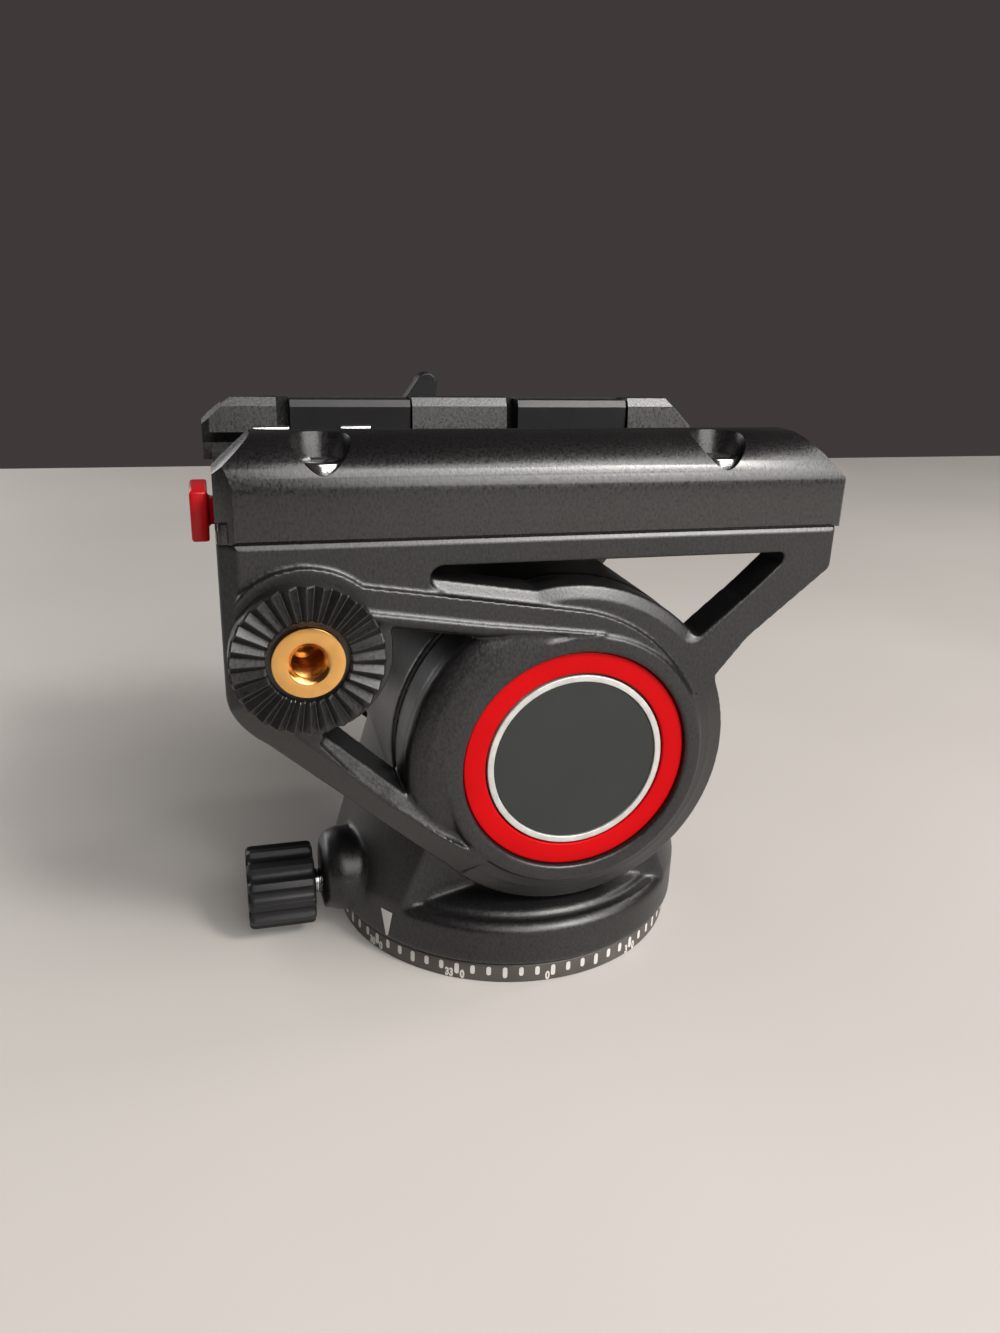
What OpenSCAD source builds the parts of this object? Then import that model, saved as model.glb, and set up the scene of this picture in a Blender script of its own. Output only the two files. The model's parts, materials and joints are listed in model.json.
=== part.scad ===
// Fluid video head: a panning foot, a tilting frame on a damped drum, and a
// grooved deck that takes a sliding camera plate. Millimetres, +Z up, +X to the front,
// origin under the foot on the pan axis.

/* [Foot] */
// Radius of the pan housing's band
base_r = 35; // [33:0.5:38]
// How far the dial ring stands back from the band
ring_back = 1; // [0.5:0.1:1.5]
// Height of the dial ring
ring_h = 3.8; // [3:0.1:4.5]
// Radial width of the dial ring
ring_w = 4.5; // [3:0.5:5]
// Wall radius of the 3/8-16 tripod thread
tripod_r = 3.97; // [3:0.01:4.5]
// Outer radius of the tripod insert
insert_r = 8; // [7:0.5:9]
// Radius of the hub that the pan brake presses on
drum_hub_r = 20; // [18:0.5:21]
// Height of that hub's top
drum_hub_z = 13; // [12:0.5:14]
// Radius of the pan spindle
spindle_r = 6; // [5:0.5:7]
// Wall of the pan bush
bush_wall = 3; // [2:0.5:4]

/* [Pan housing] */
// Top of the straight band above the dial ring
band_z = 12.5; // [11.5:0.5:13]
// How far the boss of the pan lock screw stands out from the band
boss_out = 3.3; // [2:0.1:5]
// Sideways offset of the pan lock screw
knob_y = -7; // [-9:0.5:-5]
// Height of the pan lock screw
knob_z = 10; // [9.5:0.5:11]
// Radius of the pan lock screw
lock_screw_r = 2.5; // [2:0.25:3]
// Radius of the pan lock knob
knob_r = 7.8; // [7:0.1:8.5]
// Length of the pan lock knob
knob_l = 12.4; // [10:0.2:15]
// Radius of the brass brake plug
plug_r = 4.4; // [3.5:0.1:5]

/* [Tilt] */
// Forward offset of the tilt axis from the pan axis
tilt_x = 2; // [1:0.5:3]
// Height of the tilt axis
tilt_z = 44.5; // [44:0.5:48]
// Radius of the tilt drum
drum_r = 29.5; // [28.5:0.5:30]
// Half width of the tilt drum
drum_half = 23.6; // [22.5:0.1:24.5]
// Radius of the tilt axle
axle_r = 5; // [4:0.5:6]
// Radius of the grease chambers in the drum
chamber_r = 18; // [16:0.5:19]
// Half width of the web that carries the axle
web_half = 6; // [4:0.5:8]
// Radius of the tilt lock knob
tilt_knob_r = 12; // [10:0.5:14]
// Length of the tilt lock knob
tilt_knob_l = 13.4; // [11:0.2:16]

/* [Cheeks] */
// Depth of a cheek from its inner face to its plain outer face
cheek_t = 10.6; // [9:0.2:12]
// Height of the raised teardrop ridge
ridge_h = 0.8; // [0.4:0.1:1.5]
// Rim radius of the hub
hub_r = 28.8; // [28:0.2:29.2]
// Radius of the hub's flat face
hub_face_r = 22.3; // [21:0.1:23]
// Depth of the hub's sloping flank
flank_d = 3.6; // [2:0.2:5]
// Rear end of the cheeks
rear_x = 54; // [52:0.5:56]
// Front end of the cheeks
front_x = 46; // [44:0.5:47]
// Height of the joint between cheeks and rails
split_z = 83.1; // [82:0.1:86]
// Thickness of the top flange
flange_t = 4.1; // [3:0.1:5]
// Distance of the handle axis behind the tilt axis
handle_back = 44; // [42:0.5:46]
// Height of the handle axis above the tilt axis
handle_up = 21.9; // [20:0.1:23]
// Radius of the boss behind the rosette
boss_r = 13.2; // [12.5:0.1:14]
// Chamfer on the upright rear corners
corner_c = 2.6; // [1.5:0.1:3.5]
// Chamfer on the upright front corners
front_c = 0.6; // [0.3:0.1:1.5]
// Depth of the front strut from its plain outer face
strut_t = 7.4; // [6:0.2:9]

/* [Rosette] */
// Radius of the toothed disc
rosette_r = 11.5; // [10.5:0.1:12]
// Thickness of the toothed disc
rosette_t = 3.9; // [3:0.1:5]
// Number of teeth
teeth = 28; // [20:1:36]
// Depth of the teeth
tooth_d = 1.5; // [0.8:0.1:2]
// Radius of the brass insert
brass_r = 5.45; // [4.5:0.05:6]
// Wall radius of the M6 handle thread
handle_thread_r = 2.5; // [2:0.05:3]
// Depth of the handle thread
handle_thread_l = 11; // [8:0.5:12]

/* [Badge] */
// Outer radius of the accent ring
accent_r = 19.4; // [18:0.1:20]
// Radial width of the accent ring
accent_w = 3.7; // [2:0.1:5]
// Radial width of the pale ring
pale_w = 1.1; // [0.6:0.05:2]
// Depth of the badge recess
badge_d = 1.6; // [1:0.1:1.8]

/* [Deck] */
// Height of the rails above the joint
rail_h = 14.8; // [14:0.1:17]
// Radius of the rails' rounded shoulder
shoulder_r = 8; // [6:0.2:9]
// Half width of the groove between the lips
groove_half = 22.8; // [22:0.1:23.5]
// Undercut of the groove below the lips
undercut = 2.8; // [2:0.1:3]
// Height of the lips' upright face
lip_h = 6.4; // [5.5:0.1:7]
// Floor of the groove above the joint
floor_h = 4.3; // [4:0.1:4.6]
// Front overhang of the rails over the cheeks
rail_over = 0.7; // [0.2:0.1:2]
// Rear overhang of the far rail over its cheek
far_over = 1.2; // [0.2:0.1:1.5]
// Distance of the rail screws from the rails' outer face
screw_in = 5; // [4.8:0.1:5.4]
// Radius of the rail screws' heads
screw_head_r = 4.25; // [3.5:0.05:4.3]
// Radius of the rail screws' shanks
screw_r = 2.5; // [2:0.1:2.8]

/* [Plate lock] */
// Place of the lever's stud along the deck
lever_x = -13; // [-14:0.5:-10]
// Length of the lever from stud to tip
lever_l = 11; // [9:0.5:14]
// Lean of the lever towards the front
lever_lean = 21; // [0:1:30]
// Radius of the lever's stud
stud_r = 3; // [2.5:0.1:3.1]
// Length of each jaw
jaw_l = 23.5; // [20:0.5:24]
// How far the open jaws stand behind the lip
jaw_back = 1; // [0.8:0.1:1.5]
// Thickness of the jaws
jaw_t = 4.7; // [4:0.1:4.8]

/* [Release] */
// Height of the red button
button_h = 8.6; // [7.5:0.1:9]
// Width of the red button
button_w = 12; // [9:0.5:14]
// Thickness of the red button
button_t = 2.9; // [2.4:0.1:3.2]
// Travel of the red button
button_travel = 2.2; // [1.5:0.1:2.3]
// Radius of the catch pin
pin_r = 3; // [2.5:0.1:3.4]
// Height of the catch pin above the groove floor
pin_up = 2; // [1.5:0.1:2.2]

/* [Hidden] */
$fn = 96;

// Clearances
gap = 0.3;
seat = 0.02;
run = 0.05;
eps = 0.01;
past = 5;

// Foot and pan bearing
washer_t = 0.45;
ring_r = base_r - ring_back;
pot_z = ring_h + washer_t + run;
spindle_flange_r = 15;
spindle_flange_t = 2;
insert_flange_r = 11;
insert_flange_t = 3;
pot_r = drum_hub_r + 2.3;
pot_top = drum_hub_z + spindle_flange_t + gap;
bush_l = 7.4;
bush_top = pot_top + bush_l;
nut_r = spindle_r + 2.5;
nut_h = 3;
nut_z = bush_top + gap;
spindle_top = nut_z + nut_h + 0.7;
band_round = 1.2;

// Pan lock
knob_boss_x = base_r + boss_out;
boss_low_r = knob_z - pot_z - gap;
boss_rise = 2.5;
plug_x = base_r - 8;
plug_l = plug_x - drum_hub_r;
knob_x = knob_boss_x + 1.7;
knob_flutes = 12;

// Tilt axis and cheek planes
T = [tilt_x, tilt_z];
cheek_in = drum_half + 0.4;
plain_y = cheek_in + cheek_t;
ridge_y = plain_y + ridge_h;
flank_y = plain_y - flank_d;
bush_r = axle_r + 3;
near_axle_end = plain_y - badge_d - 1;
washer_l = 2;
brake_y = plain_y + gap;
tilt_knob_y = brake_y + washer_l + gap;
far_axle_end = tilt_knob_y + tilt_knob_l - 2;

// Cheek outline
flange_z = split_z - flange_t;
H = T + [-handle_back, handle_up];
bar_out_r = 26;
bar_in_r = 21.5;
bar_a = -9;
strut_a = -41.2;
strut_ridge = 1.4;
corner_r = 12;
window_x = -21;
window_r = 2;
window_foot_r = 2.5;
strut_in_a = 43.4;
strut_in_r = 0.15;
strut_w = 6.1;
strut_out_a = 39.9;
fillet_r = 10;
// How far curves that meet smoothly run into each other
meet = 0.15;
// The crescent that carries the raised bar round the hub
merge_a = 10;
merge_c = dir(merge_a) * dir(bar_a + 90);
crescent_r = (bar_out_r - hub_face_r * merge_c) / (1 - merge_c);
crescent = T - (crescent_r - hub_face_r) * dir(merge_a);
crescent_t = (crescent - T) * dir(bar_a);
knee_z = flange_z - 3;

// Rails and deck
rail_top = split_z + rail_h;
floor_z = split_z + floor_h;
lip_z = rail_top - lip_h;
rail_front = front_x + rail_over;
end_drop = 5;
end_back = 5.6;
front_slope = 7;
foot_c = 0.5;
wing_t = 2.9;
wing_y = plain_y - 1;
deck_half = groove_half + undercut - seat;
screw_y = plain_y - screw_in;
counterbore_z = split_z + 8.3;
head_h = 5;
lip_c = 1.4;
near_screw_x = [-38.5, 25];
far_screw_x = [-47, 36.5];
rail_screw_spots = concat([for (x = near_screw_x) [x, -screw_y]], [for (x = far_screw_x) [x, screw_y]]);
bridge_rear = rear_x - 0.4;
bridge_front = front_x - 0.4;

// Plate lock
jaw_x = [-38.6, 7.2];
jaw_clear = 2.6;
jaw_y = groove_half + jaw_back;
jaw_top = rail_top - 0.5;
bar_y = jaw_y + jaw_t - 2.1;
bar_low = split_z + wing_t + 0.9;
bar_h = 3.4;
jaw_low = bar_low + bar_h;
channel_low = bar_low - 0.7;
lever_z = split_z + wing_t + stud_r + 0.2;
lever_y = ridge_y + 0.4;
lever_t = 5.2;
lever_hub_r = 6;
lever_tip_r = 2.2;

// Release
button_z = flange_z + 2.4;
button_x = rear_x + 3.8;
stem_h = 4.4;
stem_w = 4;
pin_x = -44;
wedge_in = 0.2;
pin_low = floor_z - 9;
spring_low = pin_low - 4;
boss_low = spring_low - 1.5;
boss_half = 10;
boss_front = -38;

function dir(a) = [cos(a), sin(a)];
// A point on the line of direction a that touches the circle of radius r about the tilt axis
function touching(r, a, t) = T + r * dir(a + 90) + t * dir(a);

// Solids along Y from an outline in X and Z
module along_y(y0, y1) {
    translate([0, y1, 0]) rotate([90, 0, 0]) linear_extrude(y1 - y0) children();
}

// A round bar along Y
module y_rod(p, r, y0, y1) {
    translate([p[0], y1, p[1]]) rotate([90, 0, 0]) cylinder(r = r, h = y1 - y0);
}

// A round bar along X
module x_rod(y, z, r, x0, x1) {
    translate([x0, y, z]) rotate([0, 90, 0]) cylinder(r = r, h = x1 - x0);
}

// A solid of revolution about Y through p, from an outline of radius and Y
module y_turned(p) {
    translate([p[0], 0, p[1]]) rotate([-90, 0, 0]) rotate_extrude() children();
}

// A box from its lowest to its highest corner
module block(a, b) {
    translate(a) cube(b - a);
}

// The outline of a fluted knob
module fluted(r, n) {
    difference() {
        circle(r);
        for (i = [0 : n - 1]) rotate(360 * i / n) translate([r + 0.55, 0]) circle(1.35, $fn = 32);
    }
}

// A knob along +Z with flutes, a bevelled rim and a bore for its screw
module knob(r, l, n, bore_r, bore_l) {
    bevel = 0.9;
    difference() {
        intersection() {
            linear_extrude(l) fluted(r, n);
            rotate_extrude() polygon([
                [0, 0], [r - bevel, 0], [r, bevel], [r, l - bevel], [r - bevel, l], [0, l]
            ]);
        }
        translate([0, 0, -eps]) cylinder(r = bore_r, h = bore_l + eps);
    }
}

// Foot: dial ring
module scale_ring() color([0.13, 0.13, 0.14]) {
    bevel = 0.4;
    rotate_extrude() polygon([
        [ring_r - ring_w, 0], [ring_r - bevel, 0], [ring_r, bevel], [ring_r, ring_h - bevel],
        [ring_r - bevel, ring_h], [ring_r - ring_w, ring_h]
    ]);
}

// Foot: plate with the brake hub
module base_plate() color([0.3, 0.3, 0.31]) {
    plate_r = ring_r - ring_w - seat;
    relief_in = insert_r + 6;
    relief_out = plate_r - 4;
    relief_d = 0.6;
    rotate_extrude() polygon([
        [insert_r + seat, 0], [relief_in, 0], [relief_in, relief_d], [relief_out, relief_d],
        [relief_out, 0], [plate_r, 0], [plate_r, ring_h], [drum_hub_r, ring_h],
        [drum_hub_r, drum_hub_z], [insert_flange_r + seat, drum_hub_z],
        [insert_flange_r + seat, drum_hub_z - insert_flange_t],
        [insert_r + seat, drum_hub_z - insert_flange_t]
    ]);
}

// Foot: threaded steel insert, held in by its flange
module tripod_insert() color([0.7, 0.7, 0.72]) {
    rotate_extrude() polygon([
        [tripod_r, 0], [insert_r, 0], [insert_r, drum_hub_z - insert_flange_t],
        [insert_flange_r, drum_hub_z - insert_flange_t], [insert_flange_r, drum_hub_z],
        [tripod_r, drum_hub_z]
    ]);
}

// Pan bearing: spindle
module pan_spindle() color([0.75, 0.75, 0.77]) {
    rotate_extrude() polygon([
        [0, drum_hub_z], [spindle_flange_r, drum_hub_z],
        [spindle_flange_r, drum_hub_z + spindle_flange_t], [spindle_r, drum_hub_z + spindle_flange_t],
        [spindle_r, spindle_top], [0, spindle_top]
    ]);
}

// Pan bearing: slip ring under the housing
module pan_thrust_washer() color([0.9, 0.9, 0.88]) {
    rotate_extrude() translate([pot_r + 0.5, ring_h])
        square([ring_r - ring_w - pot_r - 1, washer_t]);
}

// Pan bearing: nut that holds the housing down
module pan_nut() color([0.6, 0.6, 0.62]) {
    translate([0, 0, nut_z]) linear_extrude(nut_h) difference() {
        circle(nut_r, $fn = 6);
        circle(spindle_r + seat);
    }
}

// Pan bearing: bronze bush in the housing
module pan_bush() color([0.72, 0.5, 0.25]) {
    translate([0, 0, pot_top + seat]) linear_extrude(bush_l - seat) difference() {
        circle(spindle_r + bush_wall);
        circle(spindle_r + run);
    }
}

// The pedestal's outline in X and Z: sides that touch the drum
module pedestal_outline() {
    side_a = 80;
    reach = 60;
    difference() {
        polygon([
            touching(drum_r, side_a, 0), touching(drum_r, side_a, -reach),
            touching(drum_r, -side_a, reach), touching(drum_r, -side_a, 0), T
        ]);
        translate([-2 * base_r, pot_z - 2 * reach]) square([4 * base_r, 2 * reach + band_z - pot_z - 2]);
    }
}

// Turning pot with the drum that carries the tilt axle
module pan_housing() color([0.16, 0.16, 0.17]) {
    cone_top = tilt_z;
    cone_top_r = base_r - 9;
    difference() {
        union() {
            rotate_extrude() polygon([
                [0, pot_z], [base_r - 0.4, pot_z], [base_r, pot_z + 0.4], [base_r, band_z - band_round],
                [base_r - band_round, band_z], [0, band_z]
            ]);
            intersection() {
                along_y(-drum_half, drum_half) pedestal_outline();
                rotate_extrude() polygon([
                    [0, pot_z], [base_r, pot_z], [base_r, band_z], [cone_top_r, cone_top], [0, cone_top]
                ]);
            }
            y_rod(T, drum_r, -drum_half, drum_half);
            translate([-knob_boss_x, knob_y, knob_z]) rotate([90, 0, 90])
                linear_extrude(knob_boss_x - drum_hub_r - plug_r) {
                    circle(boss_low_r);
                    translate([-boss_low_r, 0]) square([2 * boss_low_r, boss_rise]);
                    translate([0, boss_rise]) circle(boss_low_r);
                }
        }
        translate([0, 0, pot_z - past]) cylinder(r = pot_r, h = pot_top - pot_z + past);
        cylinder(r = spindle_r + bush_wall + seat, h = bush_top);
        translate([0, 0, bush_top]) cylinder(r = nut_r + 1, h = spindle_top + 2 - bush_top);
        y_rod(T, chamber_r, -drum_half - past, -web_half);
        y_rod(T, chamber_r, web_half, drum_half + past);
        y_rod(T, axle_r + seat, -web_half - past, web_half + past);
        x_rod(knob_y, knob_z, lock_screw_r + run, -knob_boss_x - past, -plug_x);
        x_rod(knob_y, knob_z, plug_r + run, -plug_x - run, past - drum_hub_r);
    }
}

// Steel axle, fixed in the drum's web
module tilt_axle() color([0.75, 0.75, 0.77]) {
    y_rod(T, axle_r, -near_axle_end, far_axle_end);
}

// Brake plug with a hollow face that fits the hub
module pan_brake_plug() color([0.75, 0.6, 0.3]) difference() {
    x_rod(knob_y, knob_z, plug_r, -plug_x, -plug_x + plug_l + past);
    cylinder(r = drum_hub_r + gap, h = 2 * knob_z + plug_r);
}

// Pan lock: ribbed knob
module pan_lock_knob() color([0.06, 0.06, 0.07]) {
    translate([-knob_x, knob_y, knob_z]) rotate([0, -90, 0])
        knob(knob_r, knob_l, knob_flutes, lock_screw_r + seat, knob_l - 2);
}

// Pan lock: steel screw
module pan_lock_screw() color([0.75, 0.75, 0.77]) {
    x_rod(knob_y, knob_z, lock_screw_r, -knob_x - knob_l + 2 + seat, -plug_x - 2 * run);
}

// The gap filler between hub and front strut, hollowed by the fillet
module front_fillet() {
    p = front_strut_foot();
    m = dir(strut_out_a - 90);
    d = dir(strut_out_a);
    q = p + (fillet_r - meet) * m - T;
    s = -q * d + sqrt(pow(q * d, 2) - q * q + pow(hub_r + fillet_r - meet, 2));
    c = T + q + s * d;
    difference() {
        polygon([T, T + (hub_r - 2) * (c - T) / norm(c - T), c, c - (fillet_r + 1) * m, p - strut_w / 2 * m]);
        translate(c) circle(fillet_r);
    }
}

// The rounded foot of the window, between the hub and the front strut
module window_fillet() {
    d = dir(strut_in_a);
    m = dir(strut_in_a + 90);
    off = strut_in_r + window_foot_r - meet;
    along = sqrt(pow(hub_r + window_foot_r - meet, 2) - off * off);
    c = T + along * d + off * m;
    difference() {
        polygon([T + (hub_r - 2) * d, c + (T - c) * window_foot_r / norm(T - c), c, c - (off + 1) * m]);
        translate(c) circle(window_foot_r);
    }
}

// A point on the front strut's outer edge, near the hub
function front_strut_foot() = touching(strut_in_r, strut_in_a, 35.4) + strut_w * dir(strut_in_a - 90);

// The strut from the hub up to the front end
module front_strut() {
    foot = front_strut_foot();
    knee = foot + (front_x - foot[0]) / cos(strut_out_a) * dir(strut_out_a);
    polygon([
        touching(strut_in_r, strut_in_a, 20), touching(strut_in_r, strut_in_a, 47.5),
        [front_x - 9, flange_z + 1], [front_x, flange_z + 1], knee, foot, foot - [8, 10]
    ]);
}

// The bar from the handle boss over the hub
module upper_bar() {
    polygon([
        touching(bar_out_r, bar_a, -43), touching(bar_out_r, bar_a, crescent_t), T,
        touching(bar_in_r, bar_a, -8), touching(bar_in_r, bar_a, -45)
    ]);
}

// The strut from the handle boss under the hub
module lower_strut() {
    polygon([
        touching(meet - hub_r, strut_a, -41), touching(meet - hub_r, strut_a, 0), T,
        touching(-hub_face_r, strut_a - 1.6, 0), touching(-hub_face_r, strut_a - 1.6, -42)
    ]);
}

// The boss behind the rosette and the rounded rear corner below it
module rear_boss() {
    intersection() {
        union() {
            translate(H) circle(boss_r);
            intersection() {
                translate([corner_r - rear_x, H[1] - 5.6]) circle(corner_r + meet);
                polygon([
                    touching(-hub_face_r - 1, strut_a - 1.6, -80), touching(-hub_face_r - 1, strut_a - 1.6, 0),
                    [-rear_x - 20, T[1] - 2 * hub_r]
                ]);
            }
        }
        translate([-rear_x, 0]) square([2 * rear_x, split_z]);
    }
}

// The solid corner above the boss, with the rounded end of the long window
module rear_block() {
    difference() {
        polygon([
            [-rear_x, split_z], [window_x, split_z], [window_x, flange_z - 4.5], H,
            [-rear_x, H[1] - 5.6]
        ]);
        translate([window_x, flange_z - window_r]) circle(window_r);
    }
}

// The cheek's outline without its hub
module cheek_outline() {
    translate([-rear_x, flange_z]) square([rear_x + front_x, flange_t]);
    rear_block();
    rear_boss();
    upper_bar();
    lower_strut();
}

// The raised teardrop: boss, both bars and the crescent over the hub
module ridge_outline() {
    difference() {
        union() {
            rear_boss();
            upper_bar();
            lower_strut();
            intersection() {
                translate(crescent) circle(crescent_r);
                polygon([
                    crescent, crescent + 60 * dir(merge_a - 8), crescent + 80 * dir(45),
                    crescent + 60 * dir(bar_a + 90)
                ]);
            }
        }
        translate(T) circle(hub_face_r + 0.4);
    }
}

// What the lower strut's sloping flank takes away
module strut_flank() {
    translate([tilt_x, 0, tilt_z]) rotate([0, -strut_a, 0]) translate([-80, 0, 0]) rotate([90, 0, 90])
        linear_extrude(80) polygon([
            [ridge_y + eps, -hub_face_r - strut_ridge], [ridge_y + past, -hub_face_r - strut_ridge],
            [ridge_y + past, -hub_r - past], [flank_y - past, -hub_r - past], [flank_y, -hub_r]
        ]);
}

// What the chamfer of size c on an upright corner at x and y takes away
module corner_cut(x, y, c, z0, z1) {
    side = c * sqrt(2);
    translate([x, y, z0]) rotate(45) translate([-side / 2, -side / 2, 0]) cube([side, side, z1 - z0]);
}

// What the chamfers on the upright outer corners at both ends take away
module corner_cuts(rear, front, y, z0, z1) {
    corner_cut(rear, y, corner_c, z0, z1);
    corner_cut(front, y, front_c, z0, z1);
}

// One cheek on the +Y side, without its bores
module cheek_body() {
    difference() {
        union() {
            along_y(cheek_in, plain_y) cheek_outline();
            along_y(plain_y - strut_t, flank_y) front_fillet();
            along_y(plain_y - strut_t, plain_y) {
                front_strut();
                window_fillet();
            }
            along_y(flank_y - 1, ridge_y) ridge_outline();
        }
        strut_flank();
        corner_cuts(-rear_x, front_x, plain_y, flange_z - 40, split_z + 1);
    }
    y_turned(T) polygon([
        [0, cheek_in], [hub_r, cheek_in], [hub_r, flank_y], [hub_face_r, plain_y], [0, plain_y]
    ]);
}

// The bores that both cheeks share
module cheek_bores() {
    y_rod(H, brass_r + seat, ridge_y - handle_thread_l - 2 + rosette_t, ridge_y + past);
    for (x = near_screw_x) translate([x, screw_y, flange_z - past])
        cylinder(r = screw_r + seat, h = flange_t + 2 * past);
}

// Near cheek, with the badge recess and a blind bush bore
module near_cheek() color([0.17, 0.17, 0.18]) mirror([0, 1, 0]) difference() {
    cheek_body();
    cheek_bores();
    y_rod(T, accent_r + seat, plain_y - badge_d, plain_y + past);
    y_rod(T, bush_r + seat, cheek_in - past, near_axle_end + gap);
}

// Far cheek, with a bush bore right through
module far_cheek() color([0.17, 0.17, 0.18]) difference() {
    cheek_body();
    y_rod(H, brass_r + seat, ridge_y - handle_thread_l - 2 + rosette_t, ridge_y + past);
    for (x = far_screw_x) translate([x, screw_y, flange_z - past])
        cylinder(r = screw_r + seat, h = flange_t + 2 * past);
    y_rod(T, bush_r + seat, cheek_in - past, plain_y + past);
}

// Bronze bush of a cheek on the +Y side
module tilt_bush(y1) {
    difference() {
        y_rod(T, bush_r, cheek_in, y1);
        y_rod(T, axle_r + run, cheek_in - past, y1 + past);
    }
}

module near_tilt_bush() color([0.72, 0.5, 0.25]) mirror([0, 1, 0]) tilt_bush(near_axle_end);

module far_tilt_bush() color([0.72, 0.5, 0.25]) tilt_bush(plain_y);

// Drum on a cheek that shears the grease in its chamber, with grooves for the grease
module drag_rotor() {
    rotor_r = chamber_r - 0.4;
    groove = 0.8;
    difference() {
        y_rod(T, rotor_r, web_half + gap, cheek_in);
        y_rod(T, axle_r + gap, 0, cheek_in + past);
        for (y = [web_half + 3 : 3 : cheek_in - 3]) difference() {
            y_rod(T, rotor_r + past, y, y + groove);
            y_rod(T, rotor_r - groove, y - past, y + past);
        }
    }
}

module near_drag_rotor() color([0.5, 0.5, 0.52]) mirror([0, 1, 0]) drag_rotor();

module far_drag_rotor() color([0.5, 0.5, 0.52]) drag_rotor();

// Tilt lock: friction washer
module tilt_brake_washer() color([0.55, 0.45, 0.35]) difference() {
    y_rod(T, tilt_knob_r + 1, brake_y, brake_y + washer_l);
    y_rod(T, axle_r + gap, 0, brake_y + past);
}

// Tilt lock: ribbed knob
module tilt_lock_knob() color([0.06, 0.06, 0.07]) {
    translate([tilt_x, tilt_knob_y, tilt_z]) rotate([-90, 0, 0])
        knob(tilt_knob_r, tilt_knob_l, 16, axle_r + 2 + seat, tilt_knob_l - 1.5);
}

// Tilt lock: threaded insert in the knob
module tilt_knob_insert() color([0.75, 0.6, 0.3]) difference() {
    y_rod(T, axle_r + 2, tilt_knob_y, tilt_knob_y + tilt_knob_l - 1.6);
    y_rod(T, axle_r + run, 0, tilt_knob_y + tilt_knob_l);
}

// Badge: red ring
module accent_ring() color([0.8, 0.05, 0.06]) mirror([0, 1, 0]) {
    bevel = 0.3;
    y0 = plain_y - badge_d;
    y1 = plain_y + 0.5;
    y_turned(T) polygon([
        [accent_r - accent_w, y0], [accent_r, y0], [accent_r, y1 - bevel], [accent_r - bevel, y1],
        [accent_r - accent_w + bevel, y1], [accent_r - accent_w, y1 - bevel]
    ]);
}

// Badge: pale ring
module badge_ring() color([0.8, 0.8, 0.78]) mirror([0, 1, 0]) {
    r = accent_r - accent_w - 0.35;
    y_turned(T) translate([r - pale_w, plain_y - badge_d]) square([pale_w, badge_d + 0.5]);
}

// Badge: bare dark disc
module badge_disc() color([0.12, 0.14, 0.13]) mirror([0, 1, 0]) {
    r = accent_r - accent_w - 0.35 - pale_w - seat;
    y_rod(T, r, plain_y - badge_d, plain_y + 0.2);
}

// Toothed disc on the +Y side: a disc cut by one notch for each tooth
module rosette() {
    y0 = ridge_y;
    y1 = ridge_y + rosette_t;
    half = (rosette_r + 1) * tan(180 / teeth) * 0.62;
    difference() {
        y_rod(H, rosette_r, y0, y1);
        y_rod(H, brass_r + seat, y0 - past, y1 + past);
        y_rod(H, brass_r + 0.8, y1 - tooth_d, y1 + past);
        for (i = [0 : teeth - 1]) translate([H[0], y1, H[1]]) rotate([0, 360 * i / teeth, 0])
            rotate([0, 90, 0]) translate([0, 0, brass_r]) linear_extrude(rosette_r)
                polygon([[-half, eps], [half, eps], [0, -tooth_d]]);
    }
}

module near_rosette() color([0.14, 0.14, 0.15]) mirror([0, 1, 0]) rosette();

module far_rosette() color([0.14, 0.14, 0.15]) rosette();

// Brass thread for the pan handle, on the +Y side
module handle_insert() {
    y1 = ridge_y + rosette_t;
    bevel = 0.6;
    y_turned(H) polygon([
        [0, y1 - handle_thread_l - 2], [brass_r, y1 - handle_thread_l - 2], [brass_r, y1 - bevel / 2],
        [brass_r - bevel / 2, y1], [handle_thread_r + bevel, y1], [handle_thread_r, y1 - bevel],
        [handle_thread_r, y1 - handle_thread_l], [0, y1 - handle_thread_l]
    ]);
}

module near_handle_insert() color([0.85, 0.65, 0.3]) mirror([0, 1, 0]) handle_insert();

module far_handle_insert() color([0.85, 0.65, 0.3]) handle_insert();

// The rail's outline in Y and Z, on the +Y side
module rail_outline() {
    top = rail_top - shoulder_r;
    lip_out = groove_half + undercut;
    difference() {
        union() {
            translate([groove_half, split_z]) square([plain_y - shoulder_r - groove_half, rail_h]);
            translate([groove_half, split_z]) square([plain_y - groove_half, rail_h - shoulder_r]);
            intersection() {
                translate([plain_y - shoulder_r, top]) circle(shoulder_r);
                translate([plain_y - shoulder_r, top]) square(shoulder_r);
            }
        }
        polygon([
            [groove_half - 1, split_z - 1], [groove_half - 1, lip_z], [groove_half, lip_z],
            [lip_out, lip_z - undercut * 0.8], [lip_out, split_z - 1]
        ]);
        translate([groove_half - 1, split_z - 1])
            square([wing_y + seat - groove_half + 1, wing_t + seat + 1]);
        polygon([[plain_y - foot_c, split_z], [plain_y + 1, split_z - 1], [plain_y + 1, split_z + foot_c + 1],
            [plain_y, split_z + foot_c]]);
    }
}

// What the sloping upper ends and the end chamfers of a rail take away
module rail_end_cuts(rear) {
    top = rail_top + 1;
    along_y(0, 2 * plain_y) {
        polygon([
            [-rear - 1, rail_top - end_drop], [-rear, rail_top - end_drop],
            [-rear + end_back, rail_top], [-rear + end_back, top], [-rear - 1, top]
        ]);
        polygon([
            [rail_front + 1, rail_top - front_slope], [rail_front, rail_top - front_slope],
            [rail_front - front_slope, rail_top], [rail_front - front_slope, top], [rail_front + 1, top]
        ]);
    }
    corner_cuts(-rear, rail_front, plain_y, split_z - 1, top);
    for (x = [-rear, rail_front]) corner_cut(x, groove_half, lip_c, split_z - 1, top);
}

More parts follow.
